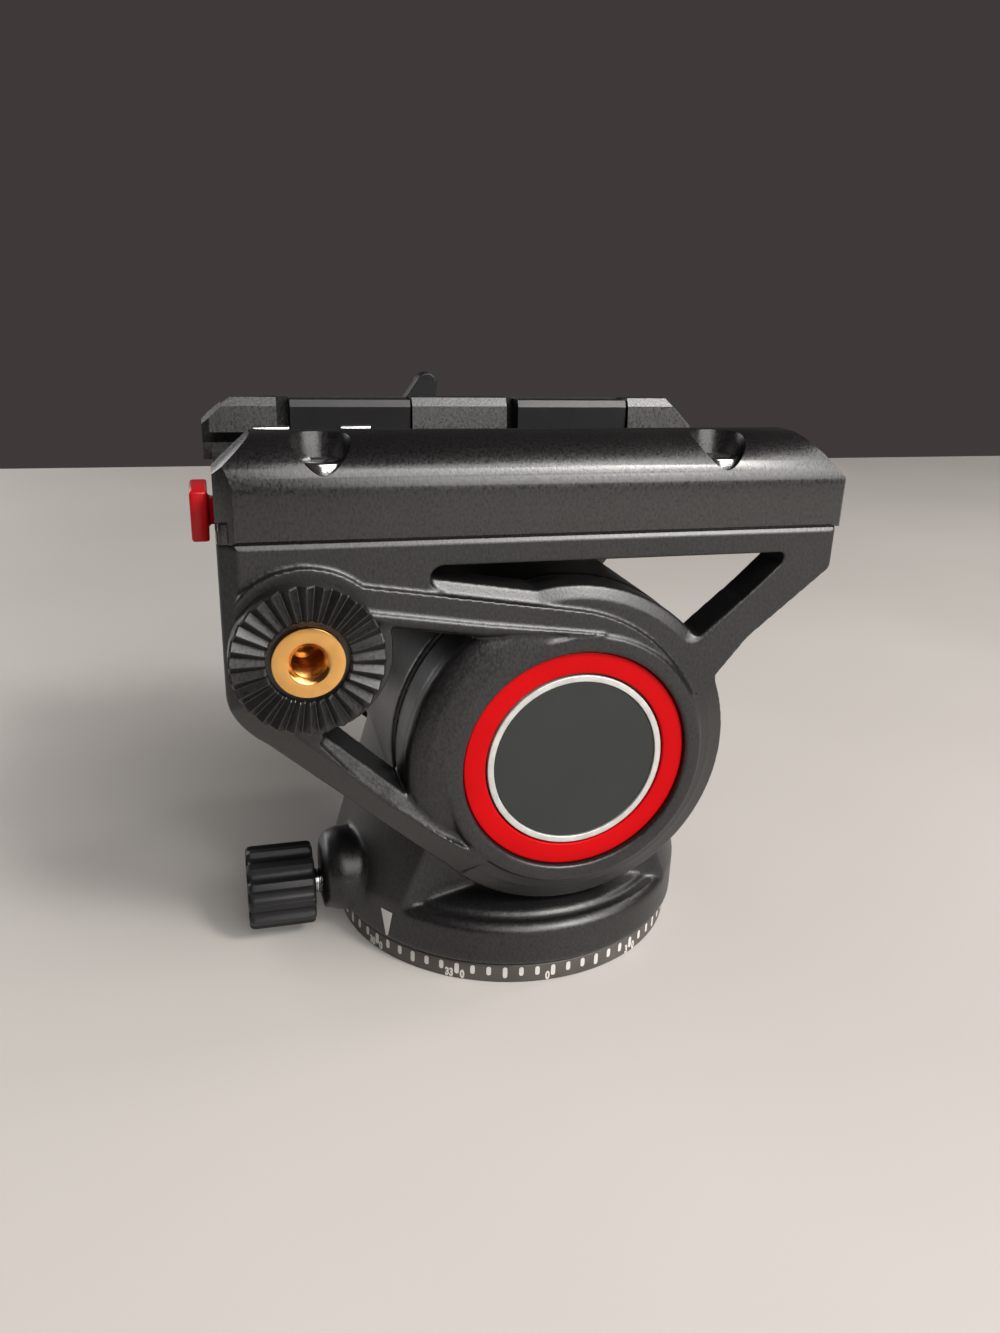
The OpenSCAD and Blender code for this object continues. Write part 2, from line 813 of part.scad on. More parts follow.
// A rail on the +Y side with its rear end and counterbored screw holes at the given places
module rail(rear, screws) {
    difference() {
        translate([-rear, 0, 0]) rotate([90, 0, 90]) linear_extrude(rear + rail_front) rail_outline();
        rail_end_cuts(rear);
        for (x = screws) translate([x, screw_y, split_z - past]) {
            cylinder(r = screw_r + seat, h = rail_h);
            translate([0, 0, counterbore_z - split_z + past]) cylinder(r = screw_head_r + 0.25, h = rail_h);
        }
    }
}

module near_rail() color([0.13, 0.13, 0.14]) mirror([0, 1, 0]) rail(rear_x, near_screw_x);

// Far rail, with the jaws' pockets, their channel and the stud's bore
module far_rail() color([0.13, 0.13, 0.14]) {
    back_y = jaw_y + jaw_t + gap;
    difference() {
        rail(rear_x + far_over, far_screw_x);
        for (x = jaw_x) block([x - jaw_clear, 0, channel_low], [x + jaw_l + gap, back_y, rail_top + 1]);
        block([jaw_x[0] - jaw_clear, 0, channel_low], [jaw_x[1] + jaw_l + gap, back_y, jaw_low + gap]);
        y_rod([lever_x, lever_z], stud_r + run, 0, ridge_y + past);
    }
}

// Cap screws of both rails, with hexagon sockets
module rail_screws() color([0.75, 0.75, 0.77]) {
    socket_r = screw_r * 0.92;
    for (p = rail_screw_spots) translate([p[0], p[1], 0]) difference() {
        union() {
            translate([0, 0, flange_z + gap]) cylinder(r = screw_r, h = counterbore_z - flange_z);
            translate([0, 0, counterbore_z]) cylinder(r = screw_head_r, h = head_h);
        }
        translate([0, 0, counterbore_z + head_h - screw_r]) cylinder(r = socket_r, h = past, $fn = 6);
    }
}

// Floor of the plate groove, clamped under both rails
module deck_bridge() color([0.15, 0.15, 0.16]) {
    slot_half = 8;
    slot_d = 2;
    rib_t = 3;
    pocket_n = 4;
    pocket_rim = 4;
    pocket_x0 = boss_front + pocket_rim;
    pocket_pitch = (bridge_front - pocket_rim - pocket_x0) / pocket_n;
    core = cheek_in - seat;
    difference() {
        union() {
            block([-bridge_rear, -core, flange_z], [bridge_front, core, split_z + eps]);
            block([-bridge_rear, -deck_half, split_z], [bridge_front, deck_half, floor_z]);
            block([-bridge_rear, -wing_y, split_z], [bridge_front, wing_y, split_z + wing_t]);
            block([-bridge_rear, -boss_half, boss_low], [boss_front, boss_half, flange_z + eps]);
        }
        block([boss_front + 6, -slot_half, floor_z - slot_d], [bridge_front + past, slot_half, floor_z + 1]);
        corner_cuts(-rear_x, front_x, ridge_y, flange_z, floor_z);
        mirror([0, 1, 0]) corner_cuts(-rear_x, front_x, ridge_y, flange_z, floor_z);
        for (i = [0 : pocket_n - 1]) for (s = [-1, 1])
            block([pocket_x0 + i * pocket_pitch, s * core / 2 - core / 2 + rib_t, flange_z - 1],
                [pocket_x0 + (i + 1) * pocket_pitch - rib_t, s * core / 2 + core / 2 - rib_t, split_z]);
        for (p = rail_screw_spots) translate([p[0], p[1], split_z - 1])
            cylinder(r = screw_r + seat, h = 2 * wing_t);
        block([-bridge_rear - 1, -button_w / 2 - gap, button_z - button_h / 2 - gap],
            [-button_x + button_t + button_travel + gap, button_w / 2 + gap, button_z + button_h / 2 + gap]);
        block([-bridge_rear - 1, -stem_w / 2 - run, button_z - stem_h / 2 - run],
            [pin_x, stem_w / 2 + run, button_z + stem_h / 2 + run]);
        translate([pin_x, 0, spring_low]) cylinder(r = pin_r + run, h = floor_z);
    }
}

// Plate lock: lever outside the far rail
module plate_lock_lever() color([0.06, 0.06, 0.07]) {
    tip = [lever_x, lever_z] + lever_l * [sin(lever_lean), cos(lever_lean)];
    side = [cos(lever_lean), -sin(lever_lean)];
    difference() {
        union() {
            y_rod([lever_x, lever_z], lever_hub_r, lever_y, lever_y + lever_t);
            along_y(lever_y + 1.2, lever_y + lever_t) polygon([
                [lever_x, lever_z] + lever_hub_r * 0.8 * side, tip + lever_tip_r * side,
                tip - lever_tip_r * side, [lever_x, lever_z] - lever_hub_r * 0.8 * side
            ]);
            y_rod(tip, lever_tip_r, lever_y + 1.2, lever_y + lever_t);
        }
        y_rod([lever_x, lever_z], stud_r + seat, 0, lever_y + lever_t - 1.2);
    }
}

// Plate lock: threaded stud
module lever_stud() color([0.75, 0.75, 0.77]) {
    y_rod([lever_x, lever_z], stud_r, jaw_y + jaw_t + 2 * run, lever_y + lever_t - 1.3);
}

// Plate lock: two jaws on one bar
module clamp_jaws() color([0.09, 0.09, 0.1]) {
    for (x = jaw_x) block([x, jaw_y, jaw_low], [x + jaw_l, jaw_y + jaw_t, jaw_top]);
    block([jaw_x[0], bar_y, bar_low], [jaw_x[1] + jaw_l, jaw_y + jaw_t, jaw_low + eps]);
}

// Release: red button with its wedge-ended stem
module release_button() color([0.75, 0.02, 0.03]) {
    tip_x = pin_x - pin_r + wedge_in;
    block([-button_x, -button_w / 2, button_z - button_h / 2],
        [-button_x + button_t, button_w / 2, button_z + button_h / 2]);
    along_y(-stem_w / 2, stem_w / 2) polygon([
        [-button_x + button_t - eps, button_z - stem_h / 2], [tip_x - stem_h, button_z - stem_h / 2],
        [tip_x, button_z + stem_h / 2], [-button_x + button_t - eps, button_z + stem_h / 2]
    ]);
}

// Release: catch pin with the ramp that the stem's wedge pushes down
module catch_pin() color([0.75, 0.75, 0.77]) {
    ramp_x = pin_x - pin_r + wedge_in + gap * sqrt(2);
    ramp_top = button_z + stem_h / 2 + button_travel + gap;
    rise = ramp_top - button_z - stem_h / 2;
    round_top = 0.6;
    difference() {
        translate([pin_x, 0, 0]) rotate_extrude() polygon([
            [0, pin_low], [pin_r, pin_low], [pin_r, floor_z + pin_up - round_top],
            [pin_r - round_top, floor_z + pin_up], [0, floor_z + pin_up]
        ]);
        along_y(-2 * pin_r, 2 * pin_r) polygon([
            [ramp_x - 2 * pin_r, button_z + stem_h / 2 - 2 * pin_r], [ramp_x + rise, ramp_top],
            [ramp_x - 2 * pin_r, ramp_top]
        ]);
    }
}

// A coil spring along +Z as one swept tube
module coil_spring(r, wire_r, l, turns) {
    sides = 6;
    per_turn = 8;
    rings = turns * per_turn;
    points = [for (i = [0 : rings]) for (k = [0 : sides - 1])
        let (a = 360 * i / per_turn, b = 360 * k / sides, q = r + wire_r * cos(b))
            [q * cos(a), q * sin(a), wire_r + (l - 2 * wire_r) * i / rings + wire_r * sin(b)]];
    walls = [for (i = [0 : rings - 1]) for (k = [0 : sides - 1])
        let (a = i * sides + k, b = i * sides + (k + 1) % sides)
            each [[a, b, a + sides], [b, b + sides, a + sides]]];
    first = [for (k = [1 : sides - 2]) [0, k + 1, k]];
    last = [for (k = [1 : sides - 2]) [rings * sides, rings * sides + k, rings * sides + k + 1]];
    polyhedron(points, concat([for (f = walls) [f[0], f[2], f[1]]], [for (f = first) [f[0], f[2], f[1]]],
        [for (f = last) [f[0], f[2], f[1]]]));
}

// Release: spring under the catch pin
module pin_spring() color([0.75, 0.75, 0.77]) {
    wire_r = 0.25;
    spring_r = pin_r - 2 * wire_r - 0.2;
    spring_l = pin_low - spring_low - 2 * run;
    translate([pin_x, 0, spring_low + run]) coil_spring(spring_r, wire_r, spring_l, 3);
}

base_plate();
scale_ring();
tripod_insert();
pan_spindle();
pan_thrust_washer();
pan_nut();
pan_housing();
pan_bush();
tilt_axle();
pan_brake_plug();
pan_lock_knob();
pan_lock_screw();
near_cheek();
far_cheek();
deck_bridge();
near_rail();
far_rail();
rail_screws();
accent_ring();
badge_ring();
badge_disc();
near_rosette();
far_rosette();
near_handle_insert();
far_handle_insert();
near_tilt_bush();
far_tilt_bush();
near_drag_rotor();
far_drag_rotor();
tilt_brake_washer();
tilt_lock_knob();
tilt_knob_insert();
plate_lock_lever();
lever_stud();
clamp_jaws();
release_button();
catch_pin();
pin_spring();
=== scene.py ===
# Fluid video head: looks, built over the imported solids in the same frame, in metres.
import json
import math
import bmesh
import bpy
from mathutils import Matrix, Vector


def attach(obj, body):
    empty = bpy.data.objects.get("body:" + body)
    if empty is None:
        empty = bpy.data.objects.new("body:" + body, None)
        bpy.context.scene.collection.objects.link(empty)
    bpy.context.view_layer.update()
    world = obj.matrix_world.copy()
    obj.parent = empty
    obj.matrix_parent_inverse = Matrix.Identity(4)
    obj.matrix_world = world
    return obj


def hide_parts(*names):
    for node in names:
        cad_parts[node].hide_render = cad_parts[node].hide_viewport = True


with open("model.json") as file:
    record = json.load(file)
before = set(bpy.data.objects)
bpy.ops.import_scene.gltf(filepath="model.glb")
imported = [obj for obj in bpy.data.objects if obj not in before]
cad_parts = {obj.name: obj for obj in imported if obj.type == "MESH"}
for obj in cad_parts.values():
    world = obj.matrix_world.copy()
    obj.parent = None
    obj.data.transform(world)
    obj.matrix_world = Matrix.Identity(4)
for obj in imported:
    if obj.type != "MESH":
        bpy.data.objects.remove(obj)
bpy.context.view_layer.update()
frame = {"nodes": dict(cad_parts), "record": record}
CAD = frame["nodes"]
BODY_OF = {n: b for b, ns in frame["record"]["behaviour"]["bodies"].items() for n in ns}
SLOT_OF = {s["node"]: s["material_slot"] for s in frame["record"]["subparts"]}
MM = 0.001

# Sizes shared with the solids, in millimetres
BAND_R, DIAL_R, DIAL_H, DIAL_W = 35.0, 34.0, 3.8, 4.5
TILT = Vector((2.0, 0.0, 44.5))
HANDLE = Vector((-42.0, 0.0, 66.4))
PLAIN_Y, RIDGE_Y = 34.6, 35.4
ROSETTE_R, ROSETTE_T, TEETH, TOOTH_D = 11.5, 3.9, 28, 0.95
BRASS_R, THREAD_R, THREAD_L = 5.45, 2.5, 11.0
PAN_KNOB = Vector((0.0, -7.0, 10.0))
GROOVE_Z, FACE_LEAN, LIP_LEAN = 91.5, math.tan(math.radians(6.0)), math.tan(math.radians(26.0))
FOOT = Vector((0.0, 0.0, 0.0))

# Depth of the grain's bump, and the pitch, strength and depth of lathe marks
GRAIN_DEPTH, CLOUD_SCALE = 0.0002, 90.0
LATHE_PITCH, LATHE_STRENGTH, LATHE_DEPTH = 2600.0, 0.12, 0.00003

# Angles in degrees: from where a machined edge is bevelled, and from where shading breaks
BEVEL_FROM, EDGE_BREAK, LIP_BREAK = 28.0, 32.0, 12.0

# How far painted marks stand out of their surface, and reach into it
MARK_PROUD, MARK_SUNK = 0.05, 0.15


# Materials: one maker for the shared node chain, then one function for each kind of finish

def finish(name, colour, rough, metal=0.0, specular=0.5):
    """A material with its Principled shader and a coordinate source."""
    m = bpy.data.materials.new(name)
    m.use_nodes = True
    m.diffuse_color = (*colour, 1)
    tree = m.node_tree
    shader = tree.nodes["Principled BSDF"]
    shader.inputs["Base Color"].default_value = (*colour, 1)
    shader.inputs["Roughness"].default_value = rough
    shader.inputs["Metallic"].default_value = metal
    shader.inputs["Specular IOR Level"].default_value = specular
    coords = tree.nodes.new("ShaderNodeTexCoord")
    return m, tree, shader, coords.outputs["Object"]


def stretched(tree, where, scale, centre=(0, 0, 0)):
    """Coordinates moved to a centre and stretched."""
    place = tree.nodes.new("ShaderNodeMapping")
    place.inputs["Location"].default_value = tuple(-c * s * MM for c, s in zip(centre, scale))
    place.inputs["Scale"].default_value = scale
    tree.links.new(where, place.inputs["Vector"])
    return place.outputs["Vector"]


def noise(tree, where, scale, detail=2.0, rough=0.5):
    n = tree.nodes.new("ShaderNodeTexNoise")
    n.inputs["Scale"].default_value = scale
    n.inputs["Detail"].default_value = detail
    n.inputs["Roughness"].default_value = rough
    tree.links.new(where, n.inputs["Vector"])
    return n.outputs["Fac"]


def ramp(tree, source, stops):
    r = tree.nodes.new("ShaderNodeValToRGB")
    while len(r.color_ramp.elements) < len(stops):
        r.color_ramp.elements.new(0.5)
    for e, (at, colour) in zip(r.color_ramp.elements, stops):
        e.position = at
        e.color = (*colour, 1)
    tree.links.new(source, r.inputs["Fac"])
    return r.outputs["Color"]


def spread(tree, source, low, high):
    """Maps a soft 0 to 1 pattern on to a range."""
    r = tree.nodes.new("ShaderNodeMapRange")
    r.inputs["From Min"].default_value = 0.25
    r.inputs["From Max"].default_value = 0.75
    r.inputs["To Min"].default_value = low
    r.inputs["To Max"].default_value = high
    tree.links.new(source, r.inputs["Value"])
    return r.outputs["Result"]


def bump(tree, shader, height, strength, distance):
    b = tree.nodes.new("ShaderNodeBump")
    b.inputs["Strength"].default_value = strength
    b.inputs["Distance"].default_value = distance
    tree.links.new(height, b.inputs["Height"])
    tree.links.new(b.outputs["Normal"], shader.inputs["Normal"])


def tint(colour, by):
    return tuple(min(1.0, c * by) for c in colour)


def grained(name, colour, rough, grain, strength, metal=0.0, specular=0.5, vary=0.25,
            stretch=(1, 1, 1), painted_hollow_shade=0.0, sparkle=0.0):
    """A finish with a fine grain in its bump and soft blotches in its colour.

    The grain also varies the roughness; speck paints shade into its hollows, a darker colour wherever its
    bump is low, and sparkle varies its gloss.
    """
    m, tree, shader, at = finish(name, colour, rough, metal, specular)
    fine = noise(tree, stretched(tree, at, stretch), grain, 3.0, 0.6)
    cloud = noise(tree, at, CLOUD_SCALE, 3.0)
    shade = ramp(tree, cloud, [(0.3, tint(colour, 1 - vary)), (0.7, tint(colour, 1 + vary))])
    # Painted shade: the base colour is multiplied darker where the fine grain is low, in the hollows of its
    # bump
    if painted_hollow_shade:
        mix = tree.nodes.new("ShaderNodeMix")
        mix.data_type = "RGBA"
        mix.blend_type = "MULTIPLY"
        mix.inputs["Factor"].default_value = 1.0
        tree.links.new(shade, mix.inputs["A"])
        tree.links.new(ramp(tree, fine, [(0.32, (1 - painted_hollow_shade,) * 3), (0.5, (0.9,) * 3), (0.68, (1.0,) * 3)]),
                       mix.inputs["B"])
        shade = mix.outputs["Result"]
    tree.links.new(shade, shader.inputs["Base Color"])
    tree.links.new(spread(tree, fine, rough - 0.06, rough + 0.08), shader.inputs["Roughness"])
    if sparkle:
        tree.links.new(spread(tree, fine, specular * (1 - sparkle), specular * (1 + sparkle)),
                       shader.inputs["Specular IOR Level"])
    bump(tree, shader, fine, strength, GRAIN_DEPTH)
    return m


def turned(name, colour, rough, axis, centre, metal=1.0):
    """Metal with fine lathe rings about an axis."""
    m, tree, shader, at = finish(name, colour, rough, metal)
    rings = tree.nodes.new("ShaderNodeTexWave")
    rings.wave_type = "RINGS"
    rings.rings_direction = axis
    rings.inputs["Scale"].default_value = LATHE_PITCH
    rings.inputs["Distortion"].default_value = 0.6
    rings.inputs["Detail"].default_value = 1.0
    tree.links.new(stretched(tree, at, (1, 1, 1), centre), rings.inputs["Vector"])
    cloud = noise(tree, at, 500.0, 2.0)
    tree.links.new(spread(tree, cloud, rough - 0.07, rough + 0.09), shader.inputs["Roughness"])
    tree.links.new(ramp(tree, cloud, [(0.3, tint(colour, 0.88)), (0.7, tint(colour, 1.06))]),
                   shader.inputs["Base Color"])
    bump(tree, shader, rings.outputs["Fac"], LATHE_STRENGTH, LATHE_DEPTH)
    return m


UPRIGHT = (1, 1, 0.6)
# Both coats carry painted shade in the hollows of their grain, through speck
COAT = grained("powder_coat", (0.006, 0.0057, 0.0059), 0.35, 2600.0, 0.16, specular=0.58, stretch=UPRIGHT,
               painted_hollow_shade=0.4, sparkle=0.26)
RAIL_COAT = grained("rail_coat", (0.005, 0.0047, 0.0049), 0.29, 2600.0, 0.12, specular=0.72, stretch=UPRIGHT,
                    painted_hollow_shade=0.4, sparkle=0.26)
DIAL_BLACK = grained("dial_black", (0.06, 0.053, 0.047), 0.45, 5200.0, 0.2, specular=0.45)
KNOB_BLACK = grained("knob_black", (0.008, 0.008, 0.009), 0.42, 3800.0, 0.25, specular=0.32)
LEVER_BLACK = grained("lever_black", (0.006, 0.006, 0.007), 0.34, 4800.0, 0.15, specular=0.3)
MARK_WHITE = grained("mark_white", (0.5, 0.48, 0.45), 0.6, 6000.0, 0.2, vary=0.08)
RED_RING = grained("red_anodised", (0.41, 0.0012, 0.0026), 0.4, 5200.0, 0.12, specular=0.08, vary=0.08)
RED_PLASTIC = grained("red_plastic", (0.42, 0.004, 0.007), 0.32, 2600.0, 0.08, specular=0.3, vary=0.1)
PALE_RING = turned("pale_ring", (0.56, 0.56, 0.54), 0.38, "Y", TILT, 0.6)
BADGE_DARK = grained("badge_dark", (0.01, 0.0125, 0.0115), 0.42, 5200.0, 0.1, vary=0.12)
BRASS = turned("polished_brass", (0.74, 0.4, 0.125), 0.18, "Y", HANDLE)
BRONZE = grained("bearing_bronze", (0.42, 0.26, 0.12), 0.38, 4200.0, 0.12, metal=1.0, vary=0.15)
STEEL = grained("bright_steel", (0.6, 0.6, 0.61), 0.15, 4200.0, 0.08, metal=1.0, vary=0.1)
ALLOY = turned("turned_alloy", (0.5, 0.5, 0.51), 0.36, "Z", FOOT)
SLIP = grained("slip_plastic", (0.72, 0.71, 0.67), 0.5, 3000.0, 0.1, vary=0.06)

SLOT_FINISH = {
    "casting": COAT, "rail": RAIL_COAT, "dial": DIAL_BLACK, "alloy": ALLOY, "steel": STEEL,
    "bronze": BRONZE, "brass": BRASS, "slip": SLIP, "knob_plastic": KNOB_BLACK,
    "lever_metal": LEVER_BLACK, "red_metal": RED_RING, "pale_metal": PALE_RING,
    "badge_dark": BADGE_DARK, "red_plastic": RED_PLASTIC,
}
for name, obj in CAD.items():
    obj.data.materials.clear()
    obj.data.materials.append(SLOT_FINISH[SLOT_OF[name]])


# Geometry Nodes trees

def node_tree(name, inputs):
    """An empty modifier tree with named inputs and its two end nodes."""
    t = bpy.data.node_groups.new(name, "GeometryNodeTree")
    t.is_modifier = True
    for label, kind in inputs:
        t.interface.new_socket(label, in_out="INPUT", socket_type="NodeSocket" + kind)
    t.interface.new_socket("Result", in_out="OUTPUT", socket_type="NodeSocketGeometry")
    return t, t.nodes.new("NodeGroupInput").outputs, t.nodes.new("NodeGroupOutput").inputs


def end_in_finish(t, copies, given, result, weld):
    """Makes the copies real, welds their shared edges and gives them their finish."""
    real = t.nodes.new("GeometryNodeRealizeInstances")
    joined = t.nodes.new("GeometryNodeMergeByDistance")
    joined.inputs["Distance"].default_value = weld
    coated = t.nodes.new("GeometryNodeSetMaterial")
    t.links.new(copies.outputs["Instances"], real.inputs[0])
    t.links.new(real.outputs[0], joined.inputs["Geometry"])
    t.links.new(joined.outputs[0], coated.inputs["Geometry"])
    t.links.new(given["Finish"], coated.inputs["Material"])
    t.links.new(coated.outputs[0], result[0])


def ring_tree():
    """One shape turned about an axis again and again."""
    t, given, result = node_tree("ring_of_shapes", [
        ("Shape", "Geometry"), ("Count", "Int"), ("Step", "Float"), ("Axis", "Vector"), ("Centre", "Vector"),
        ("Finish", "Material")])
    spots = t.nodes.new("GeometryNodePoints")
    index = t.nodes.new("GeometryNodeInputIndex")
    turn = t.nodes.new("ShaderNodeMath")
    turn.operation = "MULTIPLY"
    spin = t.nodes.new("FunctionNodeAxisAngleToRotation")
    back = t.nodes.new("ShaderNodeVectorMath")
    back.operation = "SCALE"
    back.inputs["Scale"].default_value = -1.0
    centred = t.nodes.new("GeometryNodeTransform")
    copies = t.nodes.new("GeometryNodeInstanceOnPoints")
    t.links.new(given["Count"], spots.inputs["Count"])
    t.links.new(given["Centre"], spots.inputs["Position"])
    t.links.new(given["Centre"], back.inputs[0])
    t.links.new(given["Shape"], centred.inputs["Geometry"])
    t.links.new(back.outputs[0], centred.inputs["Translation"])
    t.links.new(index.outputs[0], turn.inputs[0])
    t.links.new(given["Step"], turn.inputs[1])
    t.links.new(given["Axis"], spin.inputs["Axis"])
    t.links.new(turn.outputs[0], spin.inputs["Angle"])
    t.links.new(spots.outputs[0], copies.inputs["Points"])
    t.links.new(centred.outputs[0], copies.inputs["Instance"])
    t.links.new(spin.outputs[0], copies.inputs["Rotation"])
    end_in_finish(t, copies, given, result, 4e-6)
    return t


def spots_tree():
    """One shape on each point of a mesh."""
    t, given, result = node_tree("shape_on_spots", [
        ("Spots", "Geometry"), ("Shape", "Object"), ("Finish", "Material")])
    shape = t.nodes.new("GeometryNodeObjectInfo")
    copies = t.nodes.new("GeometryNodeInstanceOnPoints")
    t.links.new(given["Shape"], shape.inputs["Object"])
    t.links.new(given["Spots"], copies.inputs["Points"])
    t.links.new(shape.outputs["Geometry"], copies.inputs["Instance"])
    end_in_finish(t, copies, given, result, 1e-7)
    return t


RING, ON_SPOTS = ring_tree(), spots_tree()


# Mesh makers

def new_object(name, mesh):
    o = bpy.data.objects.new(name, mesh)
    bpy.context.scene.collection.objects.link(o)
    return o


def baked(o, name):
    """The evaluated object as a plain mesh object, with the modifiers gone."""
    bpy.context.view_layer.update()
    mesh = bpy.data.meshes.new_from_object(o.evaluated_get(bpy.context.evaluated_depsgraph_get()))
    bpy.data.objects.remove(o)
    mesh.name = name
    return new_object(name, mesh)


def mesh_of(b, name, fix=True):
    """Turns a bmesh into a mesh, with its faces pointing outwards."""
    if fix:
        bmesh.ops.recalc_face_normals(b, faces=b.faces)
    mesh = bpy.data.meshes.new(name)
    b.to_mesh(mesh)
    b.free()
    return mesh


def grown(mesh, name, tree, **inputs):
    """Runs a node tree on a mesh, with its named inputs set by identifier, and bakes the result."""
    o = new_object(name + "_seed", mesh)
    grow = o.modifiers.new("grow", "NODES")
    grow.node_group = tree
    for item in tree.interface.items_tree:
        if item.item_type == "SOCKET" and item.in_out == "INPUT" and item.name in inputs:
            grow[item.identifier] = inputs[item.name]
    o = baked(o, name)
    b = bmesh.new()
    b.from_mesh(o.data)
    bmesh.ops.recalc_face_normals(b, faces=b.faces)
    b.to_mesh(o.data)
    b.free()
    return o


def dressed(o, body, material, angle=35.0):
    """Smooth faces with sharp edges kept, one finish, riding on a body."""
    o.data.materials.clear()
    o.data.materials.append(material)
    for p in o.data.polygons:
        p.use_smooth = True
    if angle is not None:
        o.data.set_sharp_from_angle(angle=math.radians(angle))
    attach(o, body)


def placed(o, node, material, angle=35.0):
    """The piece stands in for its solid: it rides on the same body, and the solid is hidden."""
    dressed(o, BODY_OF[node], material, angle)
    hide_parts(node)


def merged(node):
    """A copy of a solid's mesh with its loose triangles joined."""
    mesh = CAD[node].data.copy()
    b = bmesh.new()
    b.from_mesh(mesh)
    bmesh.ops.remove_doubles(b, verts=b.verts, dist=2e-6)
    b.to_mesh(mesh)
    b.free()
    return mesh


def less(o, cutter):
    """The object with a cutter's shape taken away."""
    knife = new_object("cutter", cutter)
    cut = o.modifiers.new("cut", "BOOLEAN")
    cut.operation = "DIFFERENCE"
    cut.solver = "EXACT"
    cut.use_self = True
    cut.use_hole_tolerant = True
    cut.object = knife
    o = baked(o, o.name)
    bpy.data.objects.remove(knife)
    return o


def cast(node, material, voxel, rounds, keep=1.0, cutters=(), added=(), after=None):
    """A casting: the solid, with forms cut away and added, and every edge and corner softened.

    voxel is the grid in millimetres, rounds the smoothing, and keep the share of faces that stays.
    """
    o = new_object(node + "_work", merged(node))
    for cutter in cutters:
        o = less(o, cutter)
    b = bmesh.new()
    b.from_mesh(o.data)
    for form in added:
        b.from_mesh(form)
        bpy.data.meshes.remove(form)
    b.to_mesh(o.data)
    b.free()
    cells = o.modifiers.new("cells", "REMESH")
    cells.mode = "VOXEL"
    cells.voxel_size = voxel * MM
    soft = o.modifiers.new("soft", "SMOOTH")
    soft.factor = 0.5
    soft.iterations = rounds
    if keep < 1:
        fewer = o.modifiers.new("fewer", "DECIMATE")
        fewer.ratio = keep
    o = baked(o, node + "_cast")
    if after:
        after(o.data)
    placed(o, node, material, None)


def groove_lip(b, lean, deep):
    """Lets a face in the groove lean back, and gives it a slanted lip along its top edge."""
    top = max(v.co.z for v in b.verts)
    face = min(v.co.y for v in b.verts if top - v.co.z < 1e-5)
    low = top - deep * MM
    everything = b.verts[:] + b.edges[:] + b.faces[:]
    bmesh.ops.bisect_plane(b, geom=everything, plane_co=(0, 0, low), plane_no=(0, 0, 1))
    for v in b.verts:
        if abs(v.co.y - face) < 1e-5:
            v.co.y += lean * max(0.0, v.co.z - GROOVE_Z * MM) + LIP_LEAN * max(0.0, v.co.z - low)


def machined(node, material, width, lip=None):
    """A machined piece: the solid with small bevels on its sharp edges; lip shapes its face in the groove."""
    mesh = merged(node)
    b = bmesh.new()
    b.from_mesh(mesh)
    if lip:
        groove_lip(b, *lip)
    bmesh.ops.dissolve_limit(b, angle_limit=math.radians(1.0), verts=b.verts, edges=b.edges)
    b.to_mesh(mesh)
    b.free()
    o = new_object(node + "_work", mesh)
    edge = o.modifiers.new("edge", "BEVEL")
    edge.width = width * MM
    edge.segments = 2
    edge.limit_method = "ANGLE"
    edge.angle_limit = math.radians(BEVEL_FROM)
    edge.use_clamp_overlap = True
    placed(baked(o, node + "_edged"), node, material, LIP_BREAK if lip else EDGE_BREAK)


def rounded(outline, soft):
    """A closed outline with its corners rounded; a corner may give its own radius."""
    out, steps = [], 3
    for i, corner in enumerate(outline):
        p = Vector(corner[:2])
        a, c = Vector(outline[i - 1][:2]) - p, Vector(outline[(i + 1) % len(outline)][:2]) - p
        r = corner[2] if len(corner) > 2 else soft
        cut = min(r, 0.45 * a.length, 0.45 * c.length)
        if cut < 1e-4 or p.x < 1e-6:
            out.append(tuple(p))
            continue
        p0, p1 = p + a.normalized() * cut, p + c.normalized() * cut
        for k in range(steps + 1):
            t = k / steps
            out.append(tuple(p0 * (1 - t) ** 2 + p * 2 * t * (1 - t) + p1 * t ** 2))
    return out


def about(axis, centre, r, h, a):
    """The point at radius r, height h and angle a about an axis, in metres."""
    c, s = r * math.cos(a), r * math.sin(a)
    p = {"X": (h, centre.y + c, centre.z + s), "Y": (centre.x + c, h, centre.z + s),
         "Z": (centre.x + c, centre.y + s, h)}[axis]
    return Vector(p) * MM


def lathe(name, outline, axis, centre, steps=96):
    """A closed outline of radius and height turned about an axis."""
    b = bmesh.new()
    rings = [[b.verts.new(about(axis, centre, r, h, math.tau * k / steps)) for r, h in outline]
             for k in range(steps)]
    n = len(outline)
    for k in range(steps):
        one, two = rings[k], rings[(k + 1) % steps]
        for i in range(n):
            j = (i + 1) % n
            if outline[i][0] > 1e-6 or outline[j][0] > 1e-6:
                b.faces.new((one[i], one[j], two[j], two[i]))
    bmesh.ops.remove_doubles(b, verts=b.verts, dist=1e-7)
    return new_object(name, mesh_of(b, name))


def sector(outline, count, cuts, shape, axis, centre):
    """One sector of a ribbed or toothed turned piece: shape moves a point by its tag and its place across."""
    b = bmesh.new()
    rows = [[b.verts.new(about(axis, centre, *shape(r, h, tag, t), math.tau * t / count))
             for r, h, tag in outline] for t in cuts]
    n = len(outline)
    for one, two in zip(rows, rows[1:]):
        for i in range(n):
            j = (i + 1) % n
            if outline[i][0] > 1e-6 or outline[j][0] > 1e-6:
                b.faces.new((one[i], one[j], two[j], two[i]))
    bmesh.ops.remove_doubles(b, verts=b.verts, dist=1e-7)
    return mesh_of(b, "sector", False)


def ring_of(name, seed, count, axis, centre, material):
    """A full turn of a seed shape."""
    spin = {"X": (1, 0, 0), "Y": (0, -1, 0), "Z": (0, 0, 1)}[axis]
    return grown(seed, name, RING, Count=count, Step=math.tau / count, Axis=spin,
                 Centre=tuple(centre * MM), Finish=material)


